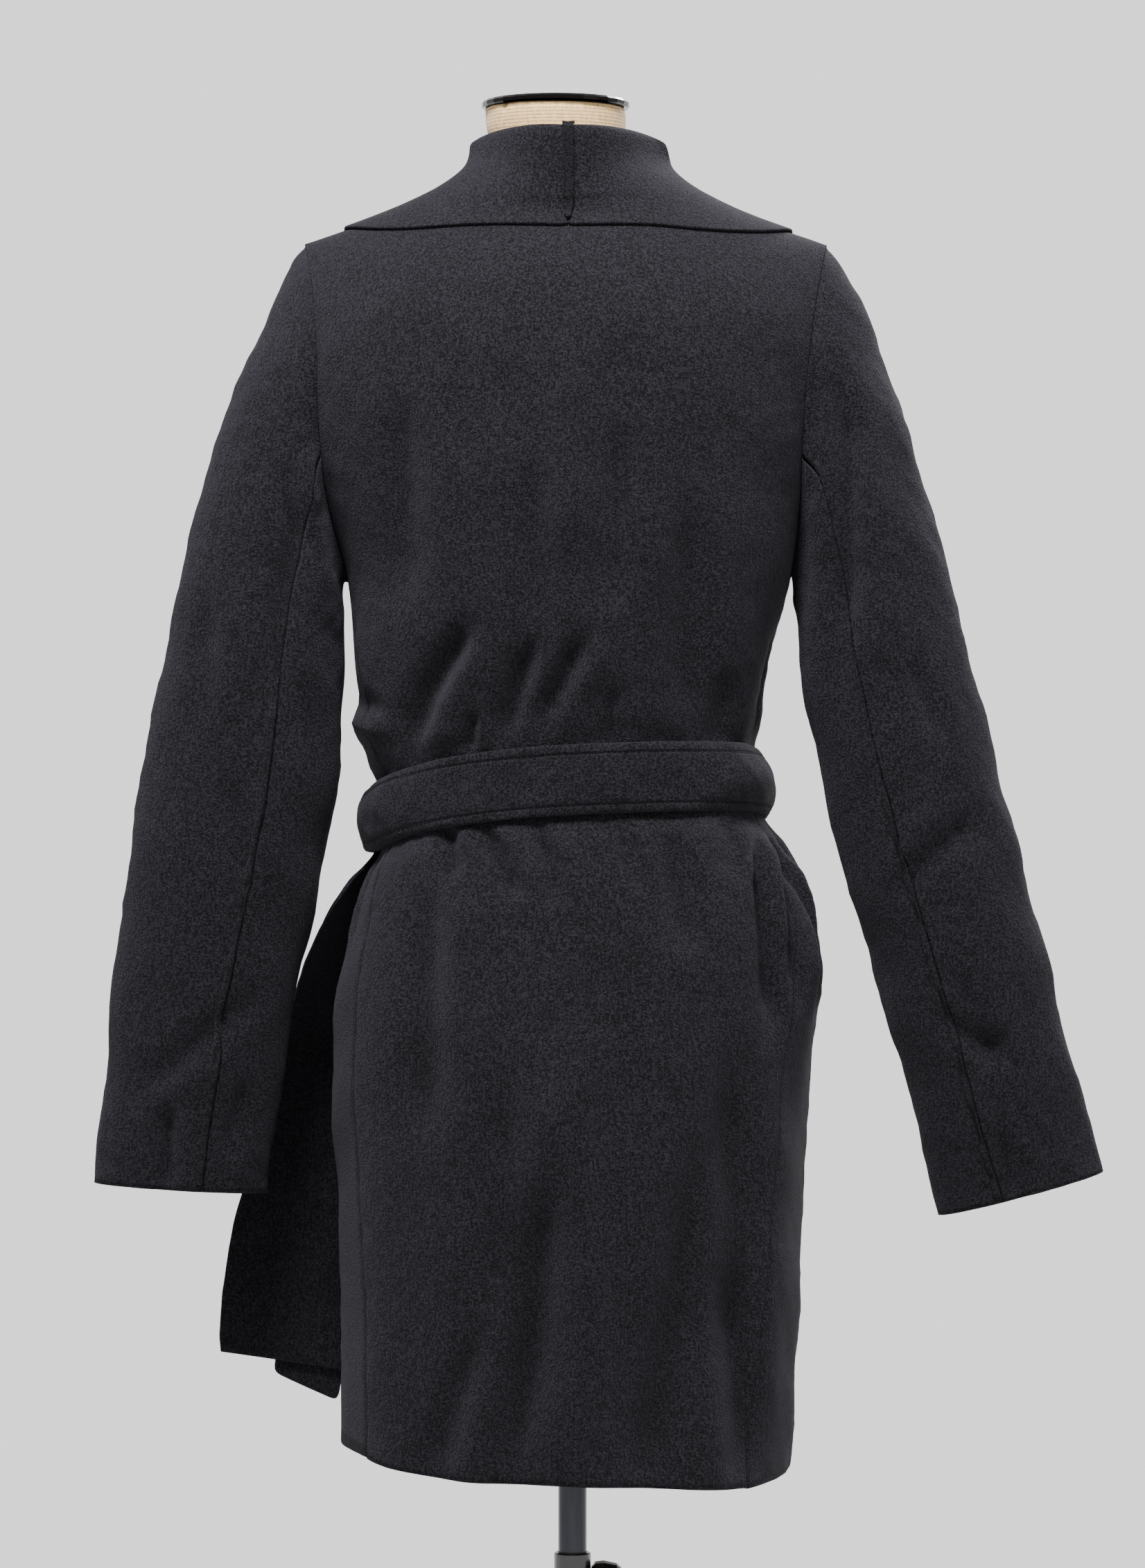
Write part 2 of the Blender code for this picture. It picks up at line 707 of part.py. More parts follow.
def collar_point(guides, along, across):
    """The collar's middle surface: stand, roll and fall of the section at a fractional station."""
    seam, up, stand, out, roll = (spline([g[n] for g in guides], along) for n in range(5))
    up = up.normalized()
    out = (out - up * out.dot(up)).normalized()
    foot = seam + up * (stand - roll)
    columns = across * (STAND_COLUMNS + ROLL_COLUMNS + FALL_COLUMNS)
    if columns <= STAND_COLUMNS:
        return mix(seam, foot, columns / STAND_COLUMNS)
    columns -= STAND_COLUMNS
    centre = foot + out * roll
    if columns <= ROLL_COLUMNS:
        turn = math.pi * columns / ROLL_COLUMNS
        return centre - out * roll * math.cos(turn) + up * roll * math.sin(turn)
    share = (columns - ROLL_COLUMNS) / FALL_COLUMNS
    lifted = centre + out * roll - spline([g[5][0] for g in guides], along)
    under = [spline([g[5][n] for g in guides], along) for n in range(FALL_COLUMNS + 1)]
    return spline(under, FALL_COLUMNS * share**FALL_LAG) + lifted * (1 - share) ** FALL_DROP


def make_collar(side):
    guides = [neck_guide(side, station) for station in COLLAR_STATIONS]
    guides += [lapel_guide(side, row) for row in LAPEL_ROWS]
    sign = -1 if side == "left" else 1
    columns = STAND_COLUMNS + ROLL_COLUMNS + FALL_COLUMNS
    trim = SEAM_GAP / (25 * MM)

    def surface(across, along):
        return collar_point(guides, along, across)

    def shape(u, v, w):
        along = max(v * (len(guides) - 1), trim)
        normal = normal_of(surface, u, along, 0.02, 0.05) * sign
        if v == 0:
            normal.x = 0
        return surface(u, along) + normal.normalized() * through(w)

    return cloth_wall(f"collar_{side}", columns, len(guides) - 1, shape)


def make_collar_seam():
    """The raw allowance of the collar's back seam, lying on the outside of its two halves."""
    guides = [neck_guide("right", station) for station in COLLAR_STATIONS[:3]]

    def shape(u, v, w):
        across = mix(SEAM_FLAP_TOP, SEAM_FLAP_END, v)
        reach = SEAM_FLAP_WIDTH * mix(1, 0.35, blend(0.75, 1, v))
        point = collar_point(guides, 0, across)
        ahead = collar_point(guides, 0, across + 0.02)
        way = (ahead - point).normalized()
        point += Vector((0, way.z, -way.y)) * (WALL / 2 + LYING_GAP + w * SEAM_FLAP_WALL)
        return Vector((COLLAR_CENTRE + (u - 0.5) * reach, point.y, point.z))

    return cloth_wall("collar_seam", 2, 10, shape)


def belt_layer(angle):
    """How far the belt stands out over the wrap that it ties."""
    rows = [(belt_height(angle) + side * BELT_WIDTH / 2 - HEM) / (ARMPIT - HEM) for side in (-1, 0, 1)]
    if angle < math.pi:
        return max(wrap_layer(angle, row) for row in rows)
    edge = overlap_edge((belt_height(1.4 * math.pi) - BELT_WIDTH / 2 - HEM) / (ARMPIT - HEM)) + WRAP_EASE
    return WRAP_LAYER * (1 - blend(edge, edge + BELT_SETTLE, angle))


def make_belt_waist():
    gap = math.radians(0.5)

    def shape(u, v, w):
        angle = mix(KNOT_ANGLE - math.tau + gap, KNOT_ANGLE - gap, u)
        height = belt_height(angle) + (v - 0.5) * BELT_WIDTH
        lift = belt_layer(angle % math.tau) + WALL / 2 + BELT_GAP + w * BELT_WALL
        return ring_point(angle, height) + normal_of(ring_point, angle, height) * lift

    return cloth_wall("belt_waist", 48, 2, shape)


def make_belt_knot():
    """The knot: a soft pad of cloth over the place where the belt crosses itself."""
    height = belt_height(KNOT_ANGLE)
    normal = normal_of(ring_point, KNOT_ANGLE, height)
    normal.z = 0
    normal.normalize()
    side = Vector((0, 0, 1)).cross(normal)
    half_width, half_depth, half_height = KNOT_SIZE
    lift = WRAP_LAYER + WALL / 2 + BELT_GAP + BELT_WALL + 2 * SEAM_GAP + half_depth
    centre = ring_point(KNOT_ANGLE, height) + normal * lift
    bm = bmesh.new()
    bmesh.ops.create_uvsphere(bm, u_segments=14, v_segments=8, radius=1)
    for vert in bm.verts:
        a, b, c = (spow(value, 0.75) for value in vert.co)
        waist = 1 - 0.18 * (1 - abs(c))
        vert.co = centre + side * a * half_width * waist + normal * b * half_depth
        vert.co.z += c * half_height
    return add_object("belt_knot", bm, WOOL)


def overlap_place(x, height):
    """The angle and row of the upper front at x and a height."""
    row = (height - HEM) / (ARMPIT - HEM)
    for _ in range(5):
        angle = solve(lambda a: x - overlap_point(a, row).x, math.radians(110), math.radians(320))
        row += (height - overlap_point(angle, row).z) / (ARMPIT - HEM)
    return angle, row


def make_belt_end(name, path, top, tip):
    """A strip that hangs from the knot on the upper front, with a slanted tip."""

    @functools.cache
    def place(u, v):
        height = mix(mix(tip[0], tip[1], u), top, v)
        x = path.at("x", height / MM) * MM + (u - 0.5) * BELT_WIDTH
        return overlap_place(x, height)

    def shape(u, v, w):
        angle, row = place(u, v)
        lift = wrap_layer(angle, row) + WALL / 2 + BELT_GAP + w * BELT_WALL
        return overlap_point(angle, row) + normal_of(overlap_point, angle, row) * lift

    return cloth_wall(name, 3, 12, shape)


def make_torso():
    """The linen torso and neck: rings of a sphere's grid, placed by the form's table."""
    heights = [row[0] for row in FORM.rows]
    bm = bmesh.new()
    bmesh.ops.create_uvsphere(bm, u_segments=FORM_SIDES, v_segments=len(heights) + 1, radius=1)
    for vert in bm.verts:
        level = round((1 - math.acos(max(min(vert.co.z, 1), -1)) / math.pi) * (len(heights) + 1))
        pole = level in (0, len(heights) + 1)
        height = heights[min(max(level - 1, 0), len(heights) - 1)]
        turn = math.atan2(vert.co.y, vert.co.x)
        depth = FORM.at("back" if turn < 0 else "front", height)
        x = FORM.at("centre_x", height) + (0 if pole else FORM.at("half_width", height) * math.cos(turn))
        y = FORM.at("centre_y", height) + (0 if pole else depth * math.sin(turn))
        vert.co = Vector((x, y, height)) * MM
    return add_object("form_torso", bm, LINEN)


def turned(name, profile, finish, sides=24):
    """A turned piece: a profile of radius and height, from its top down, swept round by a Screw."""
    bm = bmesh.new()
    points = [bm.verts.new((radius, 0, height)) for radius, height in profile]
    for start, end in zip(points, points[1:]):
        bm.edges.new((start, end))
    mesh = bpy.data.meshes.new(name)
    bm.to_mesh(mesh)
    bm.free()
    mesh.materials.append(material(name, finish))
    made = bpy.data.objects.new(name, mesh)
    COLLECTION.objects.link(made)
    sweep = made.modifiers.new("sweep", "SCREW")
    sweep.steps = sweep.render_steps = sides
    sweep.use_merge_vertices = True
    sweep.merge_threshold = 1e-5
    sweep.use_smooth_shade = True
    return made


def make_stand():
    bore = POLE_RADIUS + POLE_CLEARANCE
    outer_top = CLAMP_TOP - CLAMP_LIP
    cap = turned(
        "neck_cap",
        (
            (0, NECK_TOP + CAP_HEIGHT + 2 * MM),
            (CAP_RADIUS * 0.6, NECK_TOP + CAP_HEIGHT + 1.2 * MM),
            (CAP_RADIUS - 1.5 * MM, NECK_TOP + CAP_HEIGHT),
            (CAP_RADIUS, NECK_TOP + CAP_HEIGHT - 1.5 * MM),
            (CAP_RADIUS, NECK_TOP + 1.3 * MM),
            (CAP_RADIUS - 1 * MM, NECK_TOP + SEAM_GAP),
            (0, NECK_TOP + SEAM_GAP),
        ),
        CHROME,
        32,
    )
    cap.location = NECK_CENTRE
    pole_top = FORM_BOTTOM - SEAM_GAP
    pole_profile = ((0, pole_top), (POLE_RADIUS, pole_top), (POLE_RADIUS, POLE_FOOT), (0, POLE_FOOT))
    pole = turned("pole_inner", pole_profile, STEEL)
    outer_foot = BASE_HEIGHT + SEAM_GAP
    corners = ((bore, outer_top), (OUTER_RADIUS, outer_top), (OUTER_RADIUS, outer_foot), (bore, outer_foot))
    outer = turned("pole_outer", (*corners, corners[0]), GLOSS)
    clamp_bore = OUTER_RADIUS + SEAM_GAP
    clamp = turned(
        "pole_clamp",
        (
            (bore, CLAMP_TOP),
            (CLAMP_RADIUS - 1 * MM, CLAMP_TOP),
            (CLAMP_RADIUS, CLAMP_TOP - 1 * MM),
            (CLAMP_RADIUS, CLAMP_TOP - CLAMP_HEIGHT),
            (clamp_bore, CLAMP_TOP - CLAMP_HEIGHT),
            (clamp_bore, outer_top + SEAM_GAP),
            (bore, outer_top + SEAM_GAP),
            (bore, CLAMP_TOP),
        ),
        GLOSS,
    )
    knob = turned(
        "clamp_knob",
        (
            (0, KNOB_REACH),
            (KNOB_RADIUS * 0.6, KNOB_REACH),
            (KNOB_RADIUS * 0.86, KNOB_REACH * 0.82),
            (KNOB_RADIUS, KNOB_REACH * 0.4),
            (KNOB_RADIUS * 0.95, KNOB_REACH * 0.12),
            (KNOB_RADIUS * 0.7, 0),
            (0, 0),
        ),
        GLOSS,
        16,
    )
    knob.location = (CLAMP_RADIUS + SEAM_GAP, 0, KNOB_HEIGHT)
    knob.rotation_euler.y = math.pi / 2
    base = turned(
        "base_plate",
        (
            (0, BASE_HEIGHT),
            (BASE_RADIUS - 10 * MM, BASE_HEIGHT),
            (BASE_RADIUS - 2 * MM, BASE_HEIGHT - 3 * MM),
            (BASE_RADIUS, BASE_HEIGHT - 6 * MM),
            (BASE_RADIUS, 0),
            (0, 0),
        ),
        GLOSS,
        48,
    )
    return cap, pole, outer, clamp, knob, base


def carry(name, place, pieces, parent=None):
    """An empty on a joint's axis that carries the pieces which move with it."""
    empty = bpy.data.objects.new(name, None)
    empty.location = place
    COLLECTION.objects.link(empty)
    if parent:
        empty.parent = parent
        empty.location = Vector(place) - parent.matrix_world.translation
    bpy.context.view_layer.update()
    for piece in pieces:
        piece.parent = empty
        piece.matrix_parent_inverse = empty.matrix_world.inverted()
    return empty


def clear_scene():
    for made in list(bpy.data.objects):
        bpy.data.objects.remove(made)


def main():
    clear_scene()
    bpy.context.scene.collection.children.link(COLLECTION)
    coat = [make_back(), *make_fronts()]
    for side in ("left", "right"):
        coat += make_sleeves(side)
        coat.append(make_collar(side))
    coat += [make_collar_seam(), make_belt_waist(), make_belt_knot()]
    coat.append(make_belt_end("belt_end_long", LONG_END, LONG_TOP, LONG_TIP))
    coat.append(make_belt_end("belt_end_short", SHORT_END, SHORT_TOP, SHORT_TIP))
    torso = make_torso()
    cap, pole, outer, clamp, knob, base = make_stand()
    stand = carry("stand", (0, 0, 0), [base, outer, clamp])
    slide = carry("pole_slide", (0, 0, CLAMP_TOP), [pole], stand)
    carry("form_swivel", (0, 0, FORM_BOTTOM), [torso, cap, *coat], slide)
    carry("knob_axis", (CLAMP_RADIUS, 0, KNOB_HEIGHT), [knob], stand)


main()
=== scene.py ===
import math

import bmesh
import bpy
import numpy as np
from mathutils import Matrix, Vector
from mathutils.bvhtree import BVHTree


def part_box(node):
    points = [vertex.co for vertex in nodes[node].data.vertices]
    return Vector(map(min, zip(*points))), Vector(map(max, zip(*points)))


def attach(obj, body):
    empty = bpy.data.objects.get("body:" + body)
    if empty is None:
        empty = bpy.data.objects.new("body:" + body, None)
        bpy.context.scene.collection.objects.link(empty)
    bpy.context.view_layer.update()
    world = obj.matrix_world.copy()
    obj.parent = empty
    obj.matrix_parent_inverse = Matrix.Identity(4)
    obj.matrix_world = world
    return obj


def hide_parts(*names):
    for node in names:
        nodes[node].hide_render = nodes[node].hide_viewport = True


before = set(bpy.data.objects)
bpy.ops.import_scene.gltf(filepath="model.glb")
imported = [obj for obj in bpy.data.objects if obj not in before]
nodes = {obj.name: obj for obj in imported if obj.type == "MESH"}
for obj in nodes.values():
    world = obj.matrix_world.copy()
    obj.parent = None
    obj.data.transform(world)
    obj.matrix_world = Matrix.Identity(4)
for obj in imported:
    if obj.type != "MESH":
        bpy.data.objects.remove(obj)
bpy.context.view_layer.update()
mm = 0.001
tiny = 1e-12  # keeps a length of nothing from dividing
print("frame loaded:", len(nodes), "solids")

# camera: level, behind the coat, as far as a studio camera with a long lens stands
cameraView = {"eye": (0, -3.8, 1.089), "lens": 123.36, "sensorHeight": 36}
cameraData = bpy.data.cameras.new("photoCamera")
cameraData.sensor_fit = "VERTICAL"
cameraData.sensor_height = cameraView["sensorHeight"]
cameraData.lens = cameraView["lens"]
camera = bpy.data.objects.new("photoCamera", cameraData)
camera.location = cameraView["eye"]
camera.rotation_euler = (math.pi / 2, 0, 0)
bpy.context.scene.collection.objects.link(camera)
bpy.context.scene.camera = camera


def linear(code):  # sRGB hex to the linear colour that the shader takes
    parts = [int(code[i:i + 2], 16) / 255 for i in (1, 3, 5)]
    return [c / 12.92 if c <= 0.04045 else ((c + 0.055) / 1.055) ** 2.4 for c in parts] + [1]


def addNode(tree, kind, settings=None, links=None):
    # an input goes by its name, or by its place where names repeat: a mix node's colours are 6 and 7
    node = tree.nodes.new(kind)
    for name, value in (settings or {}).items():
        if isinstance(name, int) or name in node.inputs:
            node.inputs[name].default_value = value
        else:
            setattr(node, name, value)
    for name, source in (links or {}).items():
        tree.links.new(source, node.inputs[name])
    return node


def newMaterial(name):
    material = bpy.data.materials.new(name)
    material.use_nodes = True
    tree = material.node_tree
    shader = next(n for n in tree.nodes if n.type == "BSDF_PRINCIPLED")
    return material, tree, shader


# boiled wool: knitted, then felted, so no weave shows, only matted clumps, stray fibres and a dull bloom
wool = {
    "shade": "#030303", "nap": "#141317", "seam": "#020202", "bloom": "#9a98a8",
    "clumpMm": 1.5, "fibreMm": 1.2, "patchMm": 60, "napMm": 1.6,
    "fibreTurn": (0.5, 0.3, 0.4), "fibreStretch": (1, 1, 0.28),  # the way that the nap is brushed
    "fibreShare": 0.6, "patchShare": 0.08, "napRange": (0.72, 1.02),
    "seamMm": 1.2, "seamFrom": 0.9,  # how far a stitched line sinks, and how near to it that starts
    "roughness": 0.95, "specular": 0.04, "sheen": 0.05, "sheenRoughness": 0.55,
}
boiledWool, tree, shader = newMaterial("boiledWool")
place = addNode(tree, "ShaderNodeTexCoord").outputs["Object"]
# real clumps are under 1 mm; they are drawn coarser so that they show in the render
clumps = addNode(tree, "ShaderNodeTexNoise",
                 {"Scale": 1000 / wool["clumpMm"], "Detail": 2, "Roughness": 0.6}, {"Vector": place})
fibreRun = addNode(tree, "ShaderNodeMapping",
                   {"Rotation": wool["fibreTurn"], "Scale": wool["fibreStretch"]}, {"Vector": place})
fibres = addNode(tree, "ShaderNodeTexNoise",
                 {"Scale": 1000 / wool["fibreMm"], "Detail": 2, "Distortion": 0.8},
                 {"Vector": fibreRun.outputs["Vector"]})
patches = addNode(tree, "ShaderNodeTexNoise",
                  {"Scale": 1000 / wool["patchMm"], "Detail": 3}, {"Vector": place})
grain = addNode(tree, "ShaderNodeMath", {"operation": "MULTIPLY_ADD", 1: wool["fibreShare"]},
                {0: fibres.outputs["Fac"], 2: clumps.outputs["Fac"]})
nap = addNode(tree, "ShaderNodeMath", {"operation": "MULTIPLY_ADD", 1: wool["patchShare"]},
              {0: patches.outputs["Fac"], 2: grain.outputs[0]})
napLow, napHigh = wool["napRange"]
napShare = addNode(tree, "ShaderNodeMapRange", {"From Min": napLow, "From Max": napHigh},
                   {"Value": nap.outputs[0]})
napColour = addNode(tree, "ShaderNodeMix",
                    {"data_type": "RGBA", 6: linear(wool["shade"]), 7: linear(wool["nap"])},
                    {0: napShare.outputs[0]})
# seamNear is 0 in the open cloth and 1 at a stitched line, seamDark is how dark that line is, and the third
# attribute darkens the rest: painted shade in a crease, by a torn edge and at a welt's foot, and black thread
seamNear = addNode(tree, "ShaderNodeAttribute", {"attribute_name": "seamNear"}).outputs["Fac"]
seamDark = addNode(tree, "ShaderNodeAttribute", {"attribute_name": "seamDark"}).outputs["Fac"]
paintedShadeAndThread = addNode(tree, "ShaderNodeAttribute", {"attribute_name": "paintedShadeAndThread"}).outputs["Fac"]
seamLine = addNode(tree, "ShaderNodeMapRange", {"From Min": wool["seamFrom"], "From Max": 1},
                   {"Value": seamNear})
darkness = addNode(tree, "ShaderNodeMath", {"operation": "MULTIPLY_ADD"},
                   {0: seamLine.outputs[0], 1: seamDark, 2: paintedShadeAndThread})
# the darkest colour serves stitched lines and thread, and painted shade in creases, by the allowance and at
# the welt's foot
woolColour = addNode(tree, "ShaderNodeMix", {"data_type": "RGBA", 7: linear(wool["seam"])},
                     {0: darkness.outputs[0], 6: napColour.outputs[2]})
seamBump = addNode(tree, "ShaderNodeBump", {"invert": True, "Strength": 1, "Distance": wool["seamMm"] * mm},
                   {"Height": seamLine.outputs[0]})
napBump = addNode(tree, "ShaderNodeBump", {"Strength": 1, "Distance": wool["napMm"] * mm},
                  {"Height": grain.outputs[0], "Normal": seamBump.outputs["Normal"]})
tree.links.new(woolColour.outputs[2], shader.inputs["Base Color"])
tree.links.new(napBump.outputs["Normal"], shader.inputs["Normal"])
shader.inputs["Roughness"].default_value = wool["roughness"]
shader.inputs["Sheen Weight"].default_value = wool["sheen"]
shader.inputs["Sheen Roughness"].default_value = wool["sheenRoughness"]
shader.inputs["Sheen Tint"].default_value = linear(wool["bloom"])
shader.inputs["Specular IOR Level"].default_value = wool["specular"]

# linen cover: plain woven flax, stretched smooth, with slubs in both threads
linen = {"thread": "#b09060", "gap": "#3c2b18", "threadMm": 2.4, "slubMm": 7, "slubShare": 0.8,
         "weaveRange": (0.1, 0.95), "bumpMm": 0.3, "roughness": 0.85, "sheen": 0.1}
waveMm = 314  # one stripe of a wave texture at scale 1
wovenLinen, tree, shader = newMaterial("wovenLinen")
weavePlace = addNode(tree, "ShaderNodeTexCoord").outputs["UV"]
# a real thread is about 0.6 mm; it is drawn at 2.4 mm so that it shows
warp, weft = (addNode(tree, "ShaderNodeTexWave",
                      {"bands_direction": across, "Scale": waveMm / linen["threadMm"],
                       "Distortion": 1.2, "Detail": 1}, {"Vector": weavePlace}) for across in "XY")
slubs = addNode(tree, "ShaderNodeTexNoise", {"Scale": 1000 / linen["slubMm"], "Detail": 4},
                {"Vector": weavePlace})
cross = addNode(tree, "ShaderNodeMath", {"operation": "MULTIPLY"},
                {0: warp.outputs["Fac"], 1: weft.outputs["Fac"]})
weave = addNode(tree, "ShaderNodeMath", {"operation": "MULTIPLY_ADD", 1: linen["slubShare"]},
                {0: slubs.outputs["Fac"], 2: cross.outputs[0]})
weaveLow, weaveHigh = linen["weaveRange"]
weaveShare = addNode(tree, "ShaderNodeMapRange", {"From Min": weaveLow, "From Max": weaveHigh},
                     {"Value": weave.outputs[0]})
linenColour = addNode(tree, "ShaderNodeMix",
                      {"data_type": "RGBA", 6: linear(linen["gap"]), 7: linear(linen["thread"])},
                      {0: weaveShare.outputs[0]})
linenBump = addNode(tree, "ShaderNodeBump", {"Strength": 0.3, "Distance": linen["bumpMm"] * mm},
                    {"Height": cross.outputs[0]})
tree.links.new(linenColour.outputs[2], shader.inputs["Base Color"])
tree.links.new(linenBump.outputs["Normal"], shader.inputs["Normal"])
shader.inputs["Roughness"].default_value = linen["roughness"]
shader.inputs["Sheen Weight"].default_value = linen["sheen"]

# hard pieces: what each is, with its colours, roughness and the size of its finest marks
hardFinishes = {
    # plated and polished
    "darkChrome": {"nodes": ["neck_cap"], "low": "#121111", "high": "#1d1b1a", "metallic": 1,
                   "rough": (0.1, 0.2), "markMm": 3, "stretch": (1, 1, 6)},
    # drawn along its length
    "satinSteelTube": {"nodes": ["pole_inner"], "low": "#222326", "high": "#343539", "metallic": 1,
                       "rough": (0.28, 0.42), "markMm": 0.8, "stretch": (1, 1, 0.02)},
    # sprayed, with a slight orange peel
    "blackLacquer": {"nodes": ["pole_outer", "base_plate"], "low": "#0d0d0e", "high": "#18181a",
                     "metallic": 0, "rough": (0.3, 0.45), "markMm": 2.5, "stretch": (1, 1, 1)},
    # moulded, worn a little
    "glossNylon": {"nodes": ["pole_clamp", "clamp_knob"], "low": "#0b0b0c", "high": "#151517",
                   "metallic": 0, "rough": (0.18, 0.32), "markMm": 4, "stretch": (1, 1, 1)},
}
markDepthMm = 0.1
for name, finish in hardFinishes.items():
    hard, tree, shader = newMaterial(name)
    place = addNode(tree, "ShaderNodeTexCoord").outputs["Object"]
    run = addNode(tree, "ShaderNodeMapping", {"Scale": finish["stretch"]}, {"Vector": place})
    marks = addNode(tree, "ShaderNodeTexNoise", {"Scale": 1000 / finish["markMm"], "Detail": 4},
                    {"Vector": run.outputs["Vector"]})
    colour = addNode(tree, "ShaderNodeMix",
                     {"data_type": "RGBA", 6: linear(finish["low"]), 7: linear(finish["high"])},
                     {0: marks.outputs["Fac"]})
    smoothest, roughest = finish["rough"]
    rough = addNode(tree, "ShaderNodeMapRange", {"To Min": smoothest, "To Max": roughest},
                    {"Value": marks.outputs["Fac"]})
    bump = addNode(tree, "ShaderNodeBump", {"Strength": 0.05, "Distance": markDepthMm * mm},
                   {"Height": marks.outputs["Fac"]})
    tree.links.new(colour.outputs[2], shader.inputs["Base Color"])
    tree.links.new(rough.outputs[0], shader.inputs["Roughness"])
    tree.links.new(bump.outputs["Normal"], shader.inputs["Normal"])
    shader.inputs["Metallic"].default_value = finish["metallic"]
    for node in finish["nodes"]:
        nodes[node].material_slots[0].material = hard
print("materials made")


def smoothStep(value, low, high):
    t = np.clip((value - low) / (high - low), 0, 1)
    return t * t * (3 - 2 * t)


def runningMean(rows, window):
    padded = np.pad(rows, ((window // 2, window // 2), (0, 0)), mode="edge")
    return sum(padded[k:k + len(rows)] for k in range(window)) / window


def bell(distance, width):
    return np.exp(-((distance / width) ** 2))


noiseWaves = {"count": 9, "stretch": (0.6, 1.5)}


def softNoise(points, size, seed):  # smooth unevenness between about -1 and 1, its bumps about size across
    draw = np.random.default_rng(seed)
    total = np.zeros(len(points))
    for _ in range(noiseWaves["count"]):
        way = draw.normal(size=3)
        wave = 2 * math.pi / size * draw.uniform(*noiseWaves["stretch"])
        total += np.sin(points @ (way / np.linalg.norm(way)) * wave + draw.uniform(0, 2 * math.pi))
    return total / (noiseWaves["count"] / 2)


# a fold widens along its way by spread, starts and ends softly, and has a low lip on one side
foldShape = {"spread": (0.8, 1.2), "ends": (-0.02, 0.3), "lip": 0.35, "lipAt": 1.8}


def foldDepths(spots, folds):
    # each fold: depth in mm (a trough is below 0), half width in mm, then its points across and up in mm
    total = np.zeros(len(spots))
    first, last = foldShape["spread"]
    for depth, half, *path in folds:
        path = np.array(path) * mm
        steps = np.diff(path, axis=0)
        lengths = np.hypot(steps[:, 0], steps[:, 1])
        closest = np.full(len(spots), np.inf)
        along, side = np.zeros(len(spots)), np.zeros(len(spots))
        for start, step, length, run in zip(path, steps, lengths, np.cumsum(lengths) - lengths):
            t = np.clip((spots - start) @ step / length**2, 0, 1)
            off = spots - start - t[:, None] * step
            far = np.hypot(off[:, 0], off[:, 1])
            closer = far < closest
            closest = np.where(closer, far, closest)
            side = np.where(closer, np.sign(step[0] * off[:, 1] - step[1] * off[:, 0]), side)
            along = np.where(closer, (run + t * length) / lengths.sum(), along)
        spread = half * mm * (first + (last - first) * along)
        ends = smoothStep(np.minimum(along, 1 - along), *foldShape["ends"])
        trough = bell(closest, spread)
        lip = foldShape["lip"] * bell(closest * side - foldShape["lipAt"] * spread, spread)
        total += depth * mm * ends * (trough - lip)
    return total


def surfaceOf(mesh):  # a mesh's surface for finding nearest points, with its box
    points = readPoints(mesh)
    tree = BVHTree.FromPolygons(points.tolist(), [p.vertices for p in mesh.polygons])
    return tree, points.min(axis=0), points.max(axis=0)


def nearest(points, surfaces, reach):
    # how far the nearest of these surfaces is, reach at most, and the step to it
    far = np.full(len(points), reach)
    step = np.zeros((len(points), 3))
    for tree, low, high in surfaces:
        for i in np.flatnonzero(np.all((points > low - reach) & (points < high + reach), axis=1)):
            spot, _, _, gap = tree.find_nearest(points[i], far[i])
            if spot is not None and gap < far[i]:
                far[i] = gap
                step[i] = np.array(spot) - points[i]
    return far, step


def readPoints(mesh):
    flat = np.empty(3 * len(mesh.vertices))
    mesh.vertices.foreach_get("co", flat)
    return flat.reshape(-1, 3)


def readNormals(mesh):
    flat = np.empty(3 * len(mesh.vertices))
    mesh.vertices.foreach_get("normal", flat)
    return flat.reshape(-1, 3)


def writePoints(mesh, points):
    mesh.vertices.foreach_set("co", points.ravel())
    mesh.update()


cadSurfaces = {name: surfaceOf(node.data) for name, node in nodes.items()}
sewnGap = 0.25 * mm
quadMerge = {"weldMm": 0.02, "faceAngle": 40, "shapeAngle": 60}


def solidCopy(node, levels, rimAngle=50, rimCrease=1.0, closing=()):
    # the solid's own shape, merged back to quads, its cut edges kept crisp and the rest rounded
    # closing: solids that an edge is sewn to, the share of the gap that it crosses, and the widest gap
    shape = bmesh.new()
    shape.from_mesh(nodes[node].data)
    bmesh.ops.remove_doubles(shape, verts=shape.verts, dist=quadMerge["weldMm"] * mm)
    bmesh.ops.join_triangles(shape, faces=shape.faces,
                             angle_face_threshold=math.radians(quadMerge["faceAngle"]),
                             angle_shape_threshold=math.radians(quadMerge["shapeAngle"]))
    crease = shape.edges.layers.float.get("crease_edge") or shape.edges.layers.float.new("crease_edge")
    for edge in shape.edges:
        if edge.is_manifold and edge.calc_face_angle() > math.radians(rimAngle):
            edge[crease] = rimCrease
    rim = [vert for vert in shape.verts if any(edge[crease] for edge in vert.link_edges)]
    for names, share, widest in closing:
        for vert in rim:
            found = [cadSurfaces[n][0].find_nearest(vert.co, widest) for n in names]
            hits = [hit for hit in found if hit[0]]
            if hits:
                spot, _, _, gap = min(hits, key=lambda hit: hit[3])
                vert.co += (spot - vert.co) * share * max(0, 1 - sewnGap / max(gap, tiny))
    mesh = bpy.data.meshes.new(node)
    shape.to_mesh(mesh)
    shape.free()
    rough = bpy.data.objects.new("rough", mesh)
    bpy.context.scene.collection.objects.link(rough)
    rounding = rough.modifiers.new("rounding", "SUBSURF")
    rounding.levels = rounding.render_levels = levels
    made = bpy.data.meshes.new_from_object(rough.evaluated_get(bpy.context.evaluated_depsgraph_get()))
    bpy.data.objects.remove(rough)
    bpy.data.meshes.remove(mesh)
    made.materials.clear()
    made.shade_smooth()
    return made


def addPiece(name, mesh, material, body, replaced=()):
    mesh.name = name
    mesh.materials.append(material)
    piece = bpy.data.objects.new(name, mesh)
    bpy.context.scene.collection.objects.link(piece)
    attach(piece, body)
    if replaced:
        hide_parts(*replaced)
    return piece


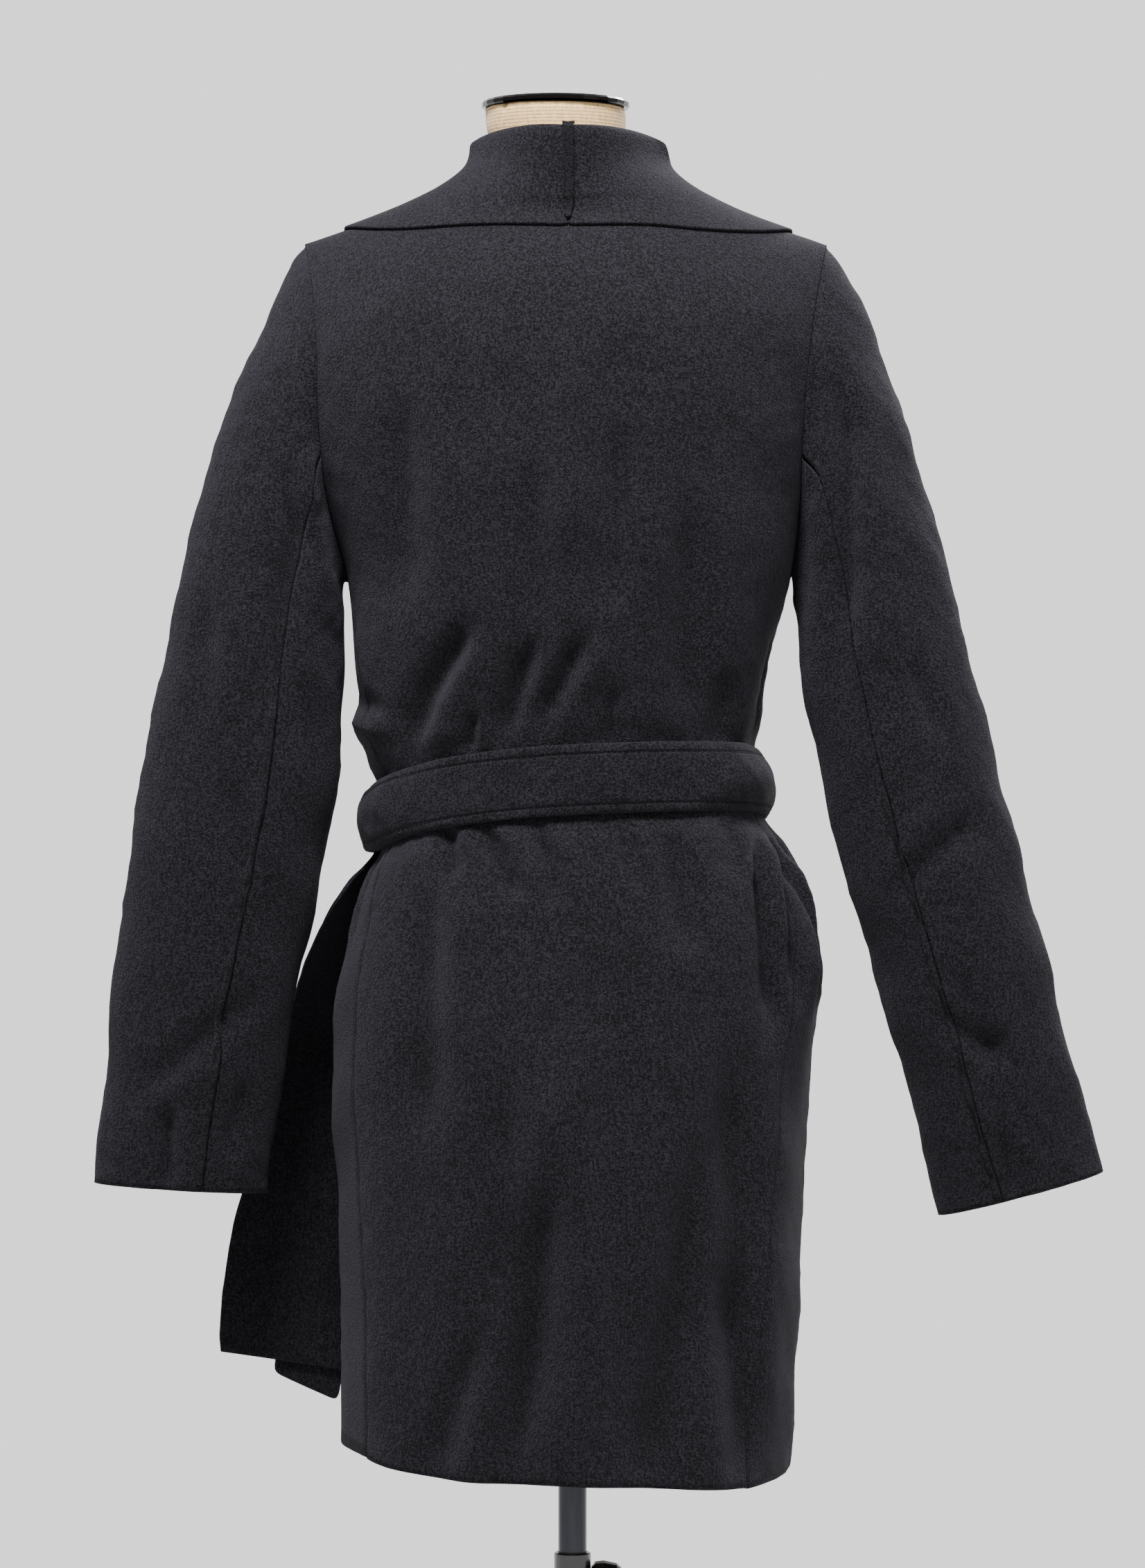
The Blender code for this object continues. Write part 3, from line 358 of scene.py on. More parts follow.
def addCloth(name, mesh, replaced=()):  # a piece of wool, which rides on the form
    return addPiece(name, mesh, boiledWool, "dressed_form", replaced)


# folds of the coat's body, by the side that they are seen from: depth (a trough is below 0) and half width in
# mm, then points along the fold in mm, x and z from behind and from before, y and z from the sides
coatFolds = {
    "girth": (160, 120),  # half the coat's width and depth, for the way that the cloth faces
    "back": [
        (5, 16, (-3, 1400), (-5, 1240)),
        (-7, 15, (-121, 1370), (-116, 1200)),
        (-6, 13, (-24, 1320), (-30, 1180)),
        (-6, 14, (36, 1350), (26, 1200)),
        (-12, 11, (-66, 1208), (-103, 1152), (-122, 1102)),
        (-11, 10, (-24, 1195), (-44, 1140), (-53, 1112)),
        (-9, 9, (14, 1198), (-20, 1140), (-30, 1112)),
        (-6, 5, (-68, 1140), (-75, 1110)),
        (-5, 8, (30, 1160), (25, 1108)),
        (-8, 16, (79, 1300), (82, 1108)),
        (-5, 8, (108, 1170), (100, 1110)),
        (-7, 7, (-88, 1062), (-82, 1020)),
        (-8, 8, (-66, 1062), (-52, 1040), (-36, 1005)),
        (-7, 7, (-28, 1066), (-16, 1035), (-8, 1000)),
        (-4, 8, (36, 1064), (44, 1010)),
        (-6, 12, (64, 1062), (84, 960)),
        (-5, 9, (114, 1068), (110, 1020)),
        (-12, 16, (108, 930), (112, 800), (106, 640)),
        (-11, 7, (128, 1070), (133, 1030), (138, 975), (141, 905)),
        (-10, 6, (138, 1070), (149, 1040), (156, 1000), (156, 920)),
        (-8, 15, (-98, 1040), (-104, 940), (-102, 820)),
        (-6, 16, (-46, 900), (-52, 700)),
        (-12, 15, (-10, 860), (-26, 720), (-52, 583)),
        (-8, 13, (-60, 730), (-104, 600)),
        (-11, 16, (90, 860), (70, 720), (46, 583)),
        (5, 18, (12, 940), (-18, 780)),
        (5, 14, (16, 800), (8, 583)),
        (-9, 10, (116, 760), (118, 640), (116, 583)),
    ],
    "front": [
        (-8, 13, (-62, 1062), (-80, 950), (-84, 850)),
        (-9, 15, (18, 1058), (6, 930), (2, 790)),
        (-7, 12, (96, 1062), (112, 940), (116, 840)),
        (-8, 14, (58, 770), (64, 583)),
        (-9, 16, (-40, 790), (-34, 583)),
        (-6, 10, (70, 1200), (50, 1108)),
        (-6, 11, (112, 1240), (92, 1108)),
        (-7, 11, (-104, 1235), (-86, 1110)),
        (-6, 9, (-60, 1185), (-66, 1108)),
        (-5, 12, (30, 1210), (20, 1120)),
    ],
    "left": [
        (7, 10, (-75, 1124), (-10, 1132), (45, 1126)),
        (-5, 7, (-20, 1046), (-14, 960)),
        (-5, 9, (20, 1180), (8, 1120)),
    ],
    "right": [
        (-8, 7, (-34, 1066), (-26, 1000), (-24, 920)),
        (-7, 7, (-8, 1066), (-2, 1010), (2, 940)),
        (-7, 8, (26, 1064), (22, 980), (24, 900)),
        (-5, 9, (-16, 1190), (-6, 1115)),
    ],
    "unevenMm": (1.5, 0.45), "unevenAcrossMm": (90, 18), "unevenSeeds": (11, 12),
    "facesFrom": (0.02, 0.3), "sideFacesFrom": (0.6, 0.9),  # how squarely the cloth faces a side with folds
    "cinchMm": 3.0, "cinchReachMm": 18,  # how far the belt draws the cloth in, and how far from its edges
    "leansFrom": (1.38, 1.5), "leanUp": 0.9,  # the cloth on the shoulders faces upwards
    "restsFrom": (1.39, 1.46), "restsShare": 0.85,  # the shoulders lie on the form, so folds end here
}


def coatWay(points):  # the way that the coat's cloth faces at each point
    wide, deep = coatFolds["girth"]
    way = np.stack([points[:, 0] / wide**2, points[:, 1] / deep**2, np.zeros(len(points))], axis=1)
    way /= np.linalg.norm(way, axis=1)[:, None] + tiny
    way[:, 2] = coatFolds["leanUp"] * smoothStep(points[:, 2], *coatFolds["leansFrom"])
    return way / np.linalg.norm(way, axis=1)[:, None]


def aroundWaist(points):
    return np.arctan2(points[:, 0], -points[:, 1])


def waistLine(bins=90, window=5, levels=2):  # the belt's upper and lower edge at each angle around the waist
    rounded = solidCopy("belt_waist", levels)
    points = readPoints(rounded)
    bpy.data.meshes.remove(rounded)
    edges = np.linspace(-math.pi, math.pi, bins + 1)
    which = np.digitize(aroundWaist(points), edges) - 1
    rows = []
    for k in range(bins):
        heights = points[which == k, 2]
        if len(heights):
            rows.append((edges[k] + math.pi / bins, heights.max(), heights.min()))
    rows = np.array(rows)
    tops, bottoms = runningMean(rows[:, 1:], window).T
    return rows[:, 0], tops, bottoms


beltAngles, beltTops, beltBottoms = waistLine()


def beltHeights(angle):
    return (np.interp(angle, beltAngles, beltTops, period=2 * math.pi),
            np.interp(angle, beltAngles, beltBottoms, period=2 * math.pi))


def coatFall(points):  # how far each point of the coat moves out, and which way
    way = coatWay(points)
    moved = np.zeros(len(points))
    for side, facing in {"back": -way[:, 1], "front": way[:, 1]}.items():
        shown = smoothStep(facing, *coatFolds["facesFrom"])
        moved += foldDepths(points[:, [0, 2]], coatFolds[side]) * shown
    for side, facing in {"left": -way[:, 0], "right": way[:, 0]}.items():
        shown = smoothStep(facing, *coatFolds["sideFacesFrom"])
        moved += foldDepths(points[:, [1, 2]], coatFolds[side]) * shown
    uneven = zip(coatFolds["unevenMm"], coatFolds["unevenAcrossMm"], coatFolds["unevenSeeds"])
    for depth, across, seed in uneven:
        moved += depth * mm * softNoise(points, across * mm, seed)
    top, bottom = beltHeights(aroundWaist(points))
    height, reach = points[:, 2], coatFolds["cinchReachMm"] * mm
    underBelt = smoothStep(height, bottom - reach, bottom) * (1 - smoothStep(height, top, top + reach))
    moved -= coatFolds["cinchMm"] * mm * underBelt
    return moved * (1 - coatFolds["restsShare"] * smoothStep(height, *coatFolds["restsFrom"])), way


# folds of the two sleeves, as seen from behind and from before
sleeveFolds = {
    "left": {
        "back": [
            (-9, 10, (-200, 1322), (-192, 1262), (-204, 1194), (-206, 1130)),
            (-7, 7, (-163, 1335), (-171, 1270)),
            (4, 8, (-182, 1330), (-186, 1270)),
            (-7, 9, (-210, 948), (-285, 889), (-318, 870)),
            (-7, 8, (-285, 870), (-287, 795)),
            (-5, 10, (-240, 1100), (-228, 1010)),
            (-4, 10, (-256, 1230), (-262, 1120)),
            (-5, 8, (-226, 880), (-244, 820)),
        ],
        "front": [
            (-8, 10, (-190, 1310), (-214, 1220), (-212, 1130)),
            (-7, 9, (-200, 1070), (-262, 1040)),
            (-6, 9, (-214, 1010), (-270, 958)),
            (-5, 8, (-262, 890), (-284, 805)),
        ],
    },
    "right": {
        "back": [
            (-8, 11, (178, 1405), (191, 1329), (188, 1194), (184, 1145)),
            (-7, 9, (222, 1008), (256, 1045), (300, 1070)),
            (-5, 9, (268, 960), (300, 880)),
            (-5, 8, (236, 1180), (262, 1110)),
            (-6, 9, (250, 930), (286, 905), (318, 905)),
            (-5, 8, (300, 850), (312, 790)),
        ],
        "front": [
            (-8, 10, (182, 1320), (204, 1220), (202, 1130)),
            (-7, 9, (190, 1080), (260, 1046)),
            (-6, 9, (214, 1000), (284, 948)),
            (-5, 8, (282, 890), (314, 795)),
        ],
    },
    "unevenMm": (1.8, 0.5), "unevenAcrossMm": (70, 18), "unevenSeeds": (21, 22),
    "facesFrom": (-0.1, 0.4),  # how squarely the cloth faces a side with folds
}
sleeveMiddle = {"rows": 14, "fromCuffMm": 20, "top": 1.34, "nearMm": 30}


def sleeveAxis(side):  # the middle of the sleeve at a row of heights
    halves = [readPoints(nodes[f"sleeve_{side}_{half}"].data) for half in ("upper", "under")]
    points = np.concatenate(halves)
    low = points[:, 2].min() + sleeveMiddle["fromCuffMm"] * mm
    rows = []
    for height in np.linspace(low, sleeveMiddle["top"], sleeveMiddle["rows"]):
        near = points[np.abs(points[:, 2] - height) < sleeveMiddle["nearMm"] * mm]
        rows.append((height, *(near.min(axis=0) + near.max(axis=0))[:2] / 2))
    return np.array(rows)


def sleeveFall(points, side, axis):  # how far each point of a sleeve moves out, and which way
    middle = [np.interp(points[:, 2], axis[:, 0], axis[:, k]) for k in (1, 2)]
    way = np.stack([points[:, 0] - middle[0], points[:, 1] - middle[1], np.zeros(len(points))], axis=1)
    way /= np.linalg.norm(way, axis=1)[:, None] + tiny
    moved = np.zeros(len(points))
    for view, facing in {"back": -way[:, 1], "front": way[:, 1]}.items():
        shown = smoothStep(facing, *sleeveFolds["facesFrom"])
        moved += foldDepths(points[:, [0, 2]], sleeveFolds[side][view]) * shown
    uneven = zip(sleeveFolds["unevenMm"], sleeveFolds["unevenAcrossMm"], sleeveFolds["unevenSeeds"])
    for depth, across, seed in uneven:
        moved += depth * mm * softNoise(points, across * mm, seed)
    return moved, way


# seams: how far the cloth dips beside one, how dark its line is, and what a sewn edge closes
seams = {
    "dipMm": 0.6, "dipWidthMm": 3.0, "stillMm": 14, "edgeMm": 1.5,
    "sleeveDark": 0.75, "weltFrom": {"left": 1.145, "right": 1.075}, "fadedAbove": 0.7, "fadeMm": 40,
    "creaseShade": 0.3, "creaseMm": (2, 11),  # painted shade darkens the cloth in a crease, more as the crease deepens
    "openMm": 9, "sideOpenMm": 3,  # widest gap between the solids that a sewn edge closes
    # a sleeve's end is drawn to the body from here upwards
    "drawnMm": 7, "drawnFrom": {"left": 1.236, "right": 1.212}, "drawnFadeMm": (-14, 10),
}

# the cut pieces of cloth: levels of rounding, the flat cut and its area in metres, and what each is sewn to
clothPieces = {
    "back": {"name": "coatBack", "levels": 3, "flat": (0.42, 0.95), "area": 0.322, "held": "hung",
             "sewn": ["front_left", "front_right"], "armholes": ["left", "right"]},
    "front_left": {"name": "coatFrontLeft", "levels": 2, "flat": (0.45, 0.95), "area": 0.293,
                   "held": "hung", "sewn": ["back"], "armholes": ["left"]},
    "front_right": {"name": "coatFrontRight", "levels": 3, "flat": (0.52, 0.95), "area": 0.35,
                    "held": "hung", "sewn": ["back"], "armholes": ["right"]},
    "collar_left": {"name": "collarLeft", "levels": 3, "flat": (0.14, 0.72), "area": 0.057,
                    "held": "folded", "sewn": ["collar_right"], "rim": 0.35},
    "collar_right": {"name": "collarRight", "levels": 3, "flat": (0.14, 0.72), "area": 0.06,
                     "held": "folded", "sewn": ["collar_left"], "rim": 0.35},
    "sleeve_left_upper": {"name": "sleeveLeftUpper", "levels": 3, "flat": (0.24, 0.66), "area": 0.134,
                          "held": "hung", "sewn": ["sleeve_left_under"], "side": "left", "welt": True},
    "sleeve_left_under": {"name": "sleeveLeftUnder", "levels": 3, "flat": (0.12, 0.6), "area": 0.056,
                          "held": "hung", "sewn": ["sleeve_left_upper"], "side": "left"},
    "sleeve_right_upper": {"name": "sleeveRightUpper", "levels": 3, "flat": (0.24, 0.66), "area": 0.132,
                           "held": "hung", "sewn": ["sleeve_right_under"], "side": "right"},
    "sleeve_right_under": {"name": "sleeveRightUnder", "levels": 3, "flat": (0.12, 0.6), "area": 0.058,
                           "held": "hung", "sewn": ["sleeve_right_upper"], "side": "right", "welt": True},
}
bodyNodes = ["back", "front_left", "front_right"]
collarEdge = {"reachMm": 11, "liesBelow": (1.478, 1.505), "clearMm": 0.4, "wallMm": 2.5}
axes = {side: sleeveAxis(side) for side in ("left", "right")}
cloths, seamEdges, onSeams = {}, {}, {}  # onSeams: the small pieces sewn along a cloth's seam


def markSeams(mesh, near=0.0, dark=0.0, flat=0.0):  # what the wool's material reads at each point
    for name, values in {"seamNear": near, "seamDark": dark, "paintedShadeAndThread": flat}.items():
        values = np.broadcast_to(values, len(mesh.vertices)).astype(np.float32)
        mesh.attributes.new(name, "FLOAT", "POINT").data.foreach_set("value", values)


def drawnToBody(points, side):  # the sleeve's end is drawn to the body that it is sewn to
    body = [surfaceOf(cloths[n].data) for n in bodyNodes]
    far, step = nearest(points, body, 2 * seams["drawnMm"] * mm)
    fade = [seams["drawnFrom"][side] + rise * mm for rise in seams["drawnFadeMm"]]
    share = bell(far, seams["drawnMm"] * mm) * smoothStep(points[:, 2], *fade)
    return points + step * (share * np.maximum(0, 1 - sewnGap / np.maximum(far, sewnGap)))[:, None]


def sunkOntoBack(mesh, points):  # the collar's outer edge sinks onto the back, its wall as thick as before
    writePoints(mesh, points)  # so that the normals are those of the fallen cloth
    reach = collarEdge["reachMm"] * mm
    far, step = nearest(points, [surfaceOf(cloths["back"].data)], reach)
    toBack = step / np.maximum(far, tiny)[:, None]
    outside = 0.5 - 0.5 * np.sum(readNormals(mesh) * toBack, axis=1)  # 0 on the wall's under side
    share = (1 - smoothStep(points[:, 2], *collarEdge["liesBelow"])) * (far < reach)
    sinks = np.maximum(0, far - (collarEdge["clearMm"] + collarEdge["wallMm"] * outside) * mm)
    return points + toBack * (share * sinks)[:, None]


for node, cut in clothPieces.items():
    side = cut.get("side")
    # two edges that are sewn together each cross half of the gap, and a sleeve's end all of it to the body
    closing = [(cut["sewn"], 0.5, seams["openMm" if side else "sideOpenMm"] * mm)]
    if side:
        closing.append((bodyNodes, 1, seams["openMm"] * mm))
    mesh = solidCopy(node, cut["levels"], rimCrease=cut.get("rim", 1.0), closing=closing)
    points = readPoints(mesh)
    still = seams["stillMm"] * mm
    halves = [f"sleeve_{s}_{half}" for s in cut.get("armholes", ()) for half in ("upper", "under")]
    toArmhole, _ = nearest(points, [cadSurfaces[n] for n in (bodyNodes if side else halves)], still)
    toSeam, _ = nearest(points, [cadSurfaces[n] for n in cut["sewn"]], still)
    if node == "front_right":  # its free end passes close by the back on the left, where it isn't sewn
        toSeam[points[:, 0] < 0] = still
    moved, way = sleeveFall(points, side, axes[side]) if side else coatFall(points)
    moved *= smoothStep(toArmhole, 0, still)
    moved -= seams["dipMm"] * mm * bell(toSeam, seams["dipWidthMm"] * mm)
    # painted shade: the cloth is drawn darker in the troughs of its folds, as shade falls there
    creaseShadeShare = smoothStep(-moved, *(depth * mm for depth in seams["creaseMm"]))
    dark = seams["sleeveDark"]
    if side:  # the seam hides in the arm's folds above the welt
        low = seams["weltFrom"][side]
        faded = smoothStep(points[:, 2], low, low + seams["fadeMm"] * mm)
        dark = dark * (1 - seams["fadedAbove"] * faded)
    markSeams(mesh, 1 - toSeam / still if side else 0, dark, seams["creaseShade"] * creaseShadeShare)
    points += moved[:, None] * way
    if side:
        points = drawnToBody(points, side)
    if "rim" in cut:
        points = sunkOntoBack(mesh, points)
    writePoints(mesh, points)
    if cut.get("welt"):
        onSeam = toSeam < seams["edgeMm"] * mm
        seamEdges[side] = (node, points[onSeam], way[onSeam])
    cloths[node] = addCloth(cut["name"], mesh, [node])
    print("cloth shell:", cut["name"], len(mesh.polygons), "faces")

# sleeve seams: sewn edges close each seam inside the cloth, and where the allowance is pressed to one side it
# lifts the cloth beside the seam in a welt
sewnEdge = {"radiusMm": 1.0, "sunkMm": 1.2, "stepMm": 5, "window": 3, "faces": 0.2}
weltShape = {"radiusMm": 2.5, "sunkMm": 0.4, "asideMm": 3.0, "window": 7, "roundness": 2,
             "fadeMm": 25, "thinEnd": 0.5, "cuffMm": 1, "footShade": 1, "footMm": (0.6, 2.0), "reachMm": 10}


def seamTrack(edge, way, axis):  # points up a seam on its outer side, with the way that the cloth faces there
    middle = [np.interp(edge[:, 2], axis[:, 0], axis[:, k]) for k in (1, 2)]
    fromAxis = np.hypot(edge[:, 0] - middle[0], edge[:, 1] - middle[1])
    step, rows = sewnEdge["stepMm"] * mm, []
    for height in np.arange(edge[:, 2].min() + weltShape["cuffMm"] * mm, edge[:, 2].max(), step):
        close = np.flatnonzero(np.abs(edge[:, 2] - height) < step / 2)
        if len(close):
            outer = close[np.argmax(fromAxis[close])]
            rows.append((*edge[outer], *way[outer]))
    return np.array(rows)


def weltRun(track, side, sleeveTree):  # points of the welt beside a seam, thinner towards its upper end
    top, thin = seams["weltFrom"][side], weltShape["thinEnd"]
    rows = runningMean(track[track[:, 2] < top], weltShape["window"])
    run = []
    for row, ahead in zip(rows, np.gradient(rows[:, :3], axis=0)):
        aside = Vector(ahead).cross(Vector(row[3:])).normalized()
        aside *= -math.copysign(weltShape["asideMm"] * mm, aside.x)  # to the left as seen from behind
        spot, normal, _, _ = sleeveTree.find_nearest(Vector(row[:3]) + aside)
        fade = min(1, (top - row[2]) / (weltShape["fadeMm"] * mm))
        run.append((*(spot - normal * weltShape["sunkMm"] * mm), thin + (1 - thin) * fade))
    return run


def tubesAlong(runs):  # round tubes along runs of points, each with its share of the welt's radius
    curve = bpy.data.curves.new("seams", "CURVE")
    curve.dimensions = "3D"
    curve.bevel_depth = weltShape["radiusMm"] * mm
    curve.bevel_resolution = weltShape["roundness"]
    curve.use_fill_caps = True
    for run in runs:
        spline = curve.splines.new("POLY")
        spline.points.add(len(run) - 1)
        for point, (x, y, z, radius) in zip(spline.points, run):
            point.co = (x, y, z, 1)
            point.radius = radius
    tubes = bpy.data.objects.new("seams", curve)
    bpy.context.scene.collection.objects.link(tubes)
    mesh = bpy.data.meshes.new_from_object(tubes.evaluated_get(bpy.context.evaluated_depsgraph_get()))
    bpy.data.objects.remove(tubes)
    bpy.data.curves.remove(curve)
    mesh.shade_smooth()
    return mesh


for side, (node, edge, way) in seamEdges.items():
    sleeve = surfaceOf(cloths[node].data)
    thin = sewnEdge["radiusMm"] / weltShape["radiusMm"]
    runs = []
    for facing in (-1, 1):  # the seam on the back of the arm, which has the welt, then the one on the front
        seen = way[:, 1] * facing > sewnEdge["faces"]
        track = seamTrack(edge[seen], way[seen], axes[side])
        inside = runningMean(track, sewnEdge["window"])
        runs.append([(*(row[:3] - sewnEdge["sunkMm"] * mm * row[3:]), thin) for row in inside])
        if facing < 0:
            runs.append(weltRun(track, side, sleeve[0]))
    mesh = tubesAlong(runs)
    proud, _ = nearest(readPoints(mesh), [sleeve], weltShape["reachMm"] * mm)
    # painted shade: the welt is drawn darker low on its flanks, where it meets the sleeve
    footShadow = 1 - smoothStep(proud, *(rise * mm for rise in weltShape["footMm"]))
    markSeams(mesh, flat=weltShape["footShade"] * footShadow)
    onSeams[node] = [addCloth(f"sleeve{side.title()}Seams", mesh)]
print("sleeve seams sewn:", len(onSeams))

# collar's centre back seam: the raw allowance lies open on the outside, with a torn edge, and painted shade
# darkens it
collarAllowance = {"levels": 3, "raggedMm": 0.5, "raggedAcrossMm": 6, "raggedSeed": 31,
                   "raisedMm": 1.0, "liesMm": 0.2, "reachMm": 25, "dark": 0.45}
mesh = solidCopy("collar_seam", collarAllowance["levels"])
points = readPoints(mesh)
moved, way = coatFall(points)
reach = collarAllowance["reachMm"] * mm
collars = ["collar_left", "collar_right"]
was, _ = nearest(points, [cadSurfaces[n] for n in collars], reach)
# it is lifted clear, then laid on the collar's shells as its solid lies on their solids
points += (moved + collarAllowance["raisedMm"] * mm)[:, None] * way
far, step = nearest(points, [surfaceOf(cloths[n].data) for n in collars], reach)
points += step * (1 - (was + collarAllowance["liesMm"] * mm) / np.maximum(far, tiny))[:, None]
ragged = softNoise(points, collarAllowance["raggedAcrossMm"] * mm, collarAllowance["raggedSeed"])
points[:, 0] += collarAllowance["raggedMm"] * mm * ragged
writePoints(mesh, points)
# painted shade: the allowance is drawn darker, for the shadow along its raw edge
markSeams(mesh, flat=collarAllowance["dark"])
onSeams["collar_left"] = [addCloth("collarSeamAllowance", mesh, ["collar_seam"])]

# tie belt: doubled cloth, rounded and stitched through near each edge, fuller where it turns the sides
tieBelt = {
    "levels": 4, "endLevels": 3, "rimCrease": 0.35,
    "edgeMm": 7, "grooveMm": 0.4, "grooveWidthMm": 2, "grooveDark": 0.6,
    "crownMm": (2.0, 8.5), "drawnInMm": (0.3, 2.2),  # at the middle of the back, and at the sides
    "crownPower": 0.8, "sidesFrom": (0.3, 0.95),
    "unevenMm": 0.9, "unevenAcrossMm": 50, "unevenSeed": 43,
    "waist": {"name": "beltWaist", "flat": (0.05, 0.74), "area": 0.037, "held": "stretched"},
    "ends": {
        "belt_end_long": {"name": "beltEndLong", "flat": (0.05, 0.43), "area": 0.0214},
        "belt_end_short": {"name": "beltEndShort", "flat": (0.05, 0.31), "area": 0.0153},
    },
}
mesh = solidCopy("belt_waist", tieBelt["levels"], rimCrease=tieBelt["rimCrease"])
points = readPoints(mesh)
moved, way = coatFall(points)
top, bottom = beltHeights(aroundWaist(points))
fromEdge = np.clip(np.minimum(top - points[:, 2], points[:, 2] - bottom), 0, None)
groove = bell(fromEdge - tieBelt["edgeMm"] * mm, tieBelt["grooveWidthMm"] * mm)
turned = smoothStep(np.abs(way[:, 0]), *tieBelt["sidesFrom"])
crown, drawnIn = (low + (high - low) * turned for low, high in (tieBelt["crownMm"], tieBelt["drawnInMm"]))
up = np.clip((points[:, 2] - bottom) / (top - bottom), 0, 1)
crown = crown * np.sin(math.pi * up) ** tieBelt["crownPower"]
moved += (crown - drawnIn - tieBelt["grooveMm"] * groove) * mm
uneven = softNoise(points, tieBelt["unevenAcrossMm"] * mm, tieBelt["unevenSeed"])
moved += tieBelt["unevenMm"] * mm * uneven
toStitch = np.abs(fromEdge - tieBelt["edgeMm"] * mm)
markSeams(mesh, 1 - np.minimum(toStitch / (seams["stillMm"] * mm), 1), tieBelt["grooveDark"])
writePoints(mesh, points + moved[:, None] * way)
cloths["belt_waist"] = addCloth(tieBelt["waist"]["name"], mesh, ["belt_waist"])
for node, cut in tieBelt["ends"].items():
    mesh = solidCopy(node, tieBelt["endLevels"], rimCrease=tieBelt["rimCrease"])
    points = readPoints(mesh)
    moved, way = coatFall(points)
    writePoints(mesh, points + moved[:, None] * way)
    cloths[node] = addCloth(cut["name"], mesh, [node])

# topstitching: two rows of sunk stitches around the belt
topstitch = {"lengthMm": 3.0, "pitchMm": 4.2, "thickMm": 0.6, "sunkMm": 0.1,
             "samples": 720, "rayFrom": 0.5, "aheadMm": 2, "shortestMm": 1}
beltTree = surfaceOf(cloths["belt_waist"].data)[0]


def stitchTrack(row):  # points along a stitched row, with the way that the belt faces there
    track = []
    for angle in np.linspace(beltAngles[0], beltAngles[-1], topstitch["samples"]):
        top, bottom = beltHeights(angle)
        height = top - tieBelt["edgeMm"] * mm if row == "upper" else bottom + tieBelt["edgeMm"] * mm
        out = Vector((math.sin(angle), -math.cos(angle), 0))
        start = out * topstitch["rayFrom"] + Vector((0, 0, height))
        spot, normal, _, _ = beltTree.ray_cast(start, -out)
        if spot is not None:
            track.append((*spot, *normal))
    return np.array(track)


stitches = bmesh.new()
stitchSize = Matrix.Diagonal((topstitch["lengthMm"] * mm, *[topstitch["thickMm"] * mm] * 2, 1))
for row in ("upper", "lower"):
    track = stitchTrack(row)
    run = np.concatenate([[0], np.cumsum(np.linalg.norm(np.diff(track[:, :3], axis=0), axis=1))])
    for along in np.arange(0, run[-1], topstitch["pitchMm"] * mm):
        here, ahead = (np.array([np.interp(at, run, line) for line in track.T])
                       for at in (along, along + topstitch["aheadMm"] * mm))
        outward = Vector(here[3:]).normalized()
        forward = Vector(ahead[:3] - here[:3])
        if forward.length < topstitch["shortestMm"] * mm:  # the row's end
            continue
        aside = outward.cross(forward).normalized()
        turn = Matrix((forward.normalized(), aside, outward)).transposed().to_4x4()
        place = Matrix.Translation(Vector(here[:3]) - outward * topstitch["sunkMm"] * mm)
        bmesh.ops.create_cube(stitches, size=1, matrix=place @ turn @ stitchSize)
mesh = bpy.data.meshes.new("beltStitches")
stitches.to_mesh(mesh)
stitches.free()
markSeams(mesh, flat=1)
topstitching = addCloth("beltStitches", mesh)
print("belt made and stitched:", len(mesh.polygons) // 6, "stitches")  # six faces each

# knot: the band crosses itself, so its layers lie in slanting rolls
knot = {"levels": 4, "rimAngle": 80, "name": "beltKnot", "flat": (0.05, 0.1), "slant": 0.7,
        "rollMm": 17, "rollPower": 0.6, "depthMm": 2.6,
        "unevenMm": 0.8, "unevenAcrossMm": 20, "unevenSeed": 41}
mesh = solidCopy("belt_knot", knot["levels"], knot["rimAngle"])
points = readPoints(mesh)
low, high = (Vector(c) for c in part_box("belt_knot"))
heart = np.array((low + high) / 2)
outward = points - heart
outward /= np.linalg.norm(outward, axis=1)[:, None] + tiny
across = (points[:, 2] - heart[2]) + knot["slant"] * (points[:, 0] - heart[0])
rolls = np.abs(np.sin(math.pi * across / (knot["rollMm"] * mm))) ** knot["rollPower"] - 1
points += knot["depthMm"] * mm * rolls[:, None] * outward
uneven = softNoise(points, knot["unevenAcrossMm"] * mm, knot["unevenSeed"])
points += knot["unevenMm"] * mm * uneven[:, None] * outward
writePoints(mesh, points)
cloths["belt_knot"] = addCloth(knot["name"], mesh, ["belt_knot"])

# dress form: one smooth padded torso under linen
dressForm = {"levels": 2, "rimAngle": 60, "rimCrease": 0.9, "wrapMm": 120}
mesh = solidCopy("form_torso", dressForm["levels"], dressForm["rimAngle"], dressForm["rimCrease"])
uvs = mesh.uv_layers.active or mesh.uv_layers.new(name="weave")
points = readPoints(mesh)
corners = np.empty(len(mesh.loops), dtype=np.int32)
mesh.loops.foreach_get("vertex_index", corners)
around = np.arctan2(points[:, 0], points[:, 1]) * dressForm["wrapMm"] * mm
uvs.data.foreach_set("uv", np.stack([around, points[:, 2]], axis=1)[corners].ravel())
addPiece("linenTorso", mesh, wovenLinen, "dressed_form", ["form_torso"])
print("form covered")

# the waist band's flat cut, which nothing below reads
cut = tieBelt["waist"]

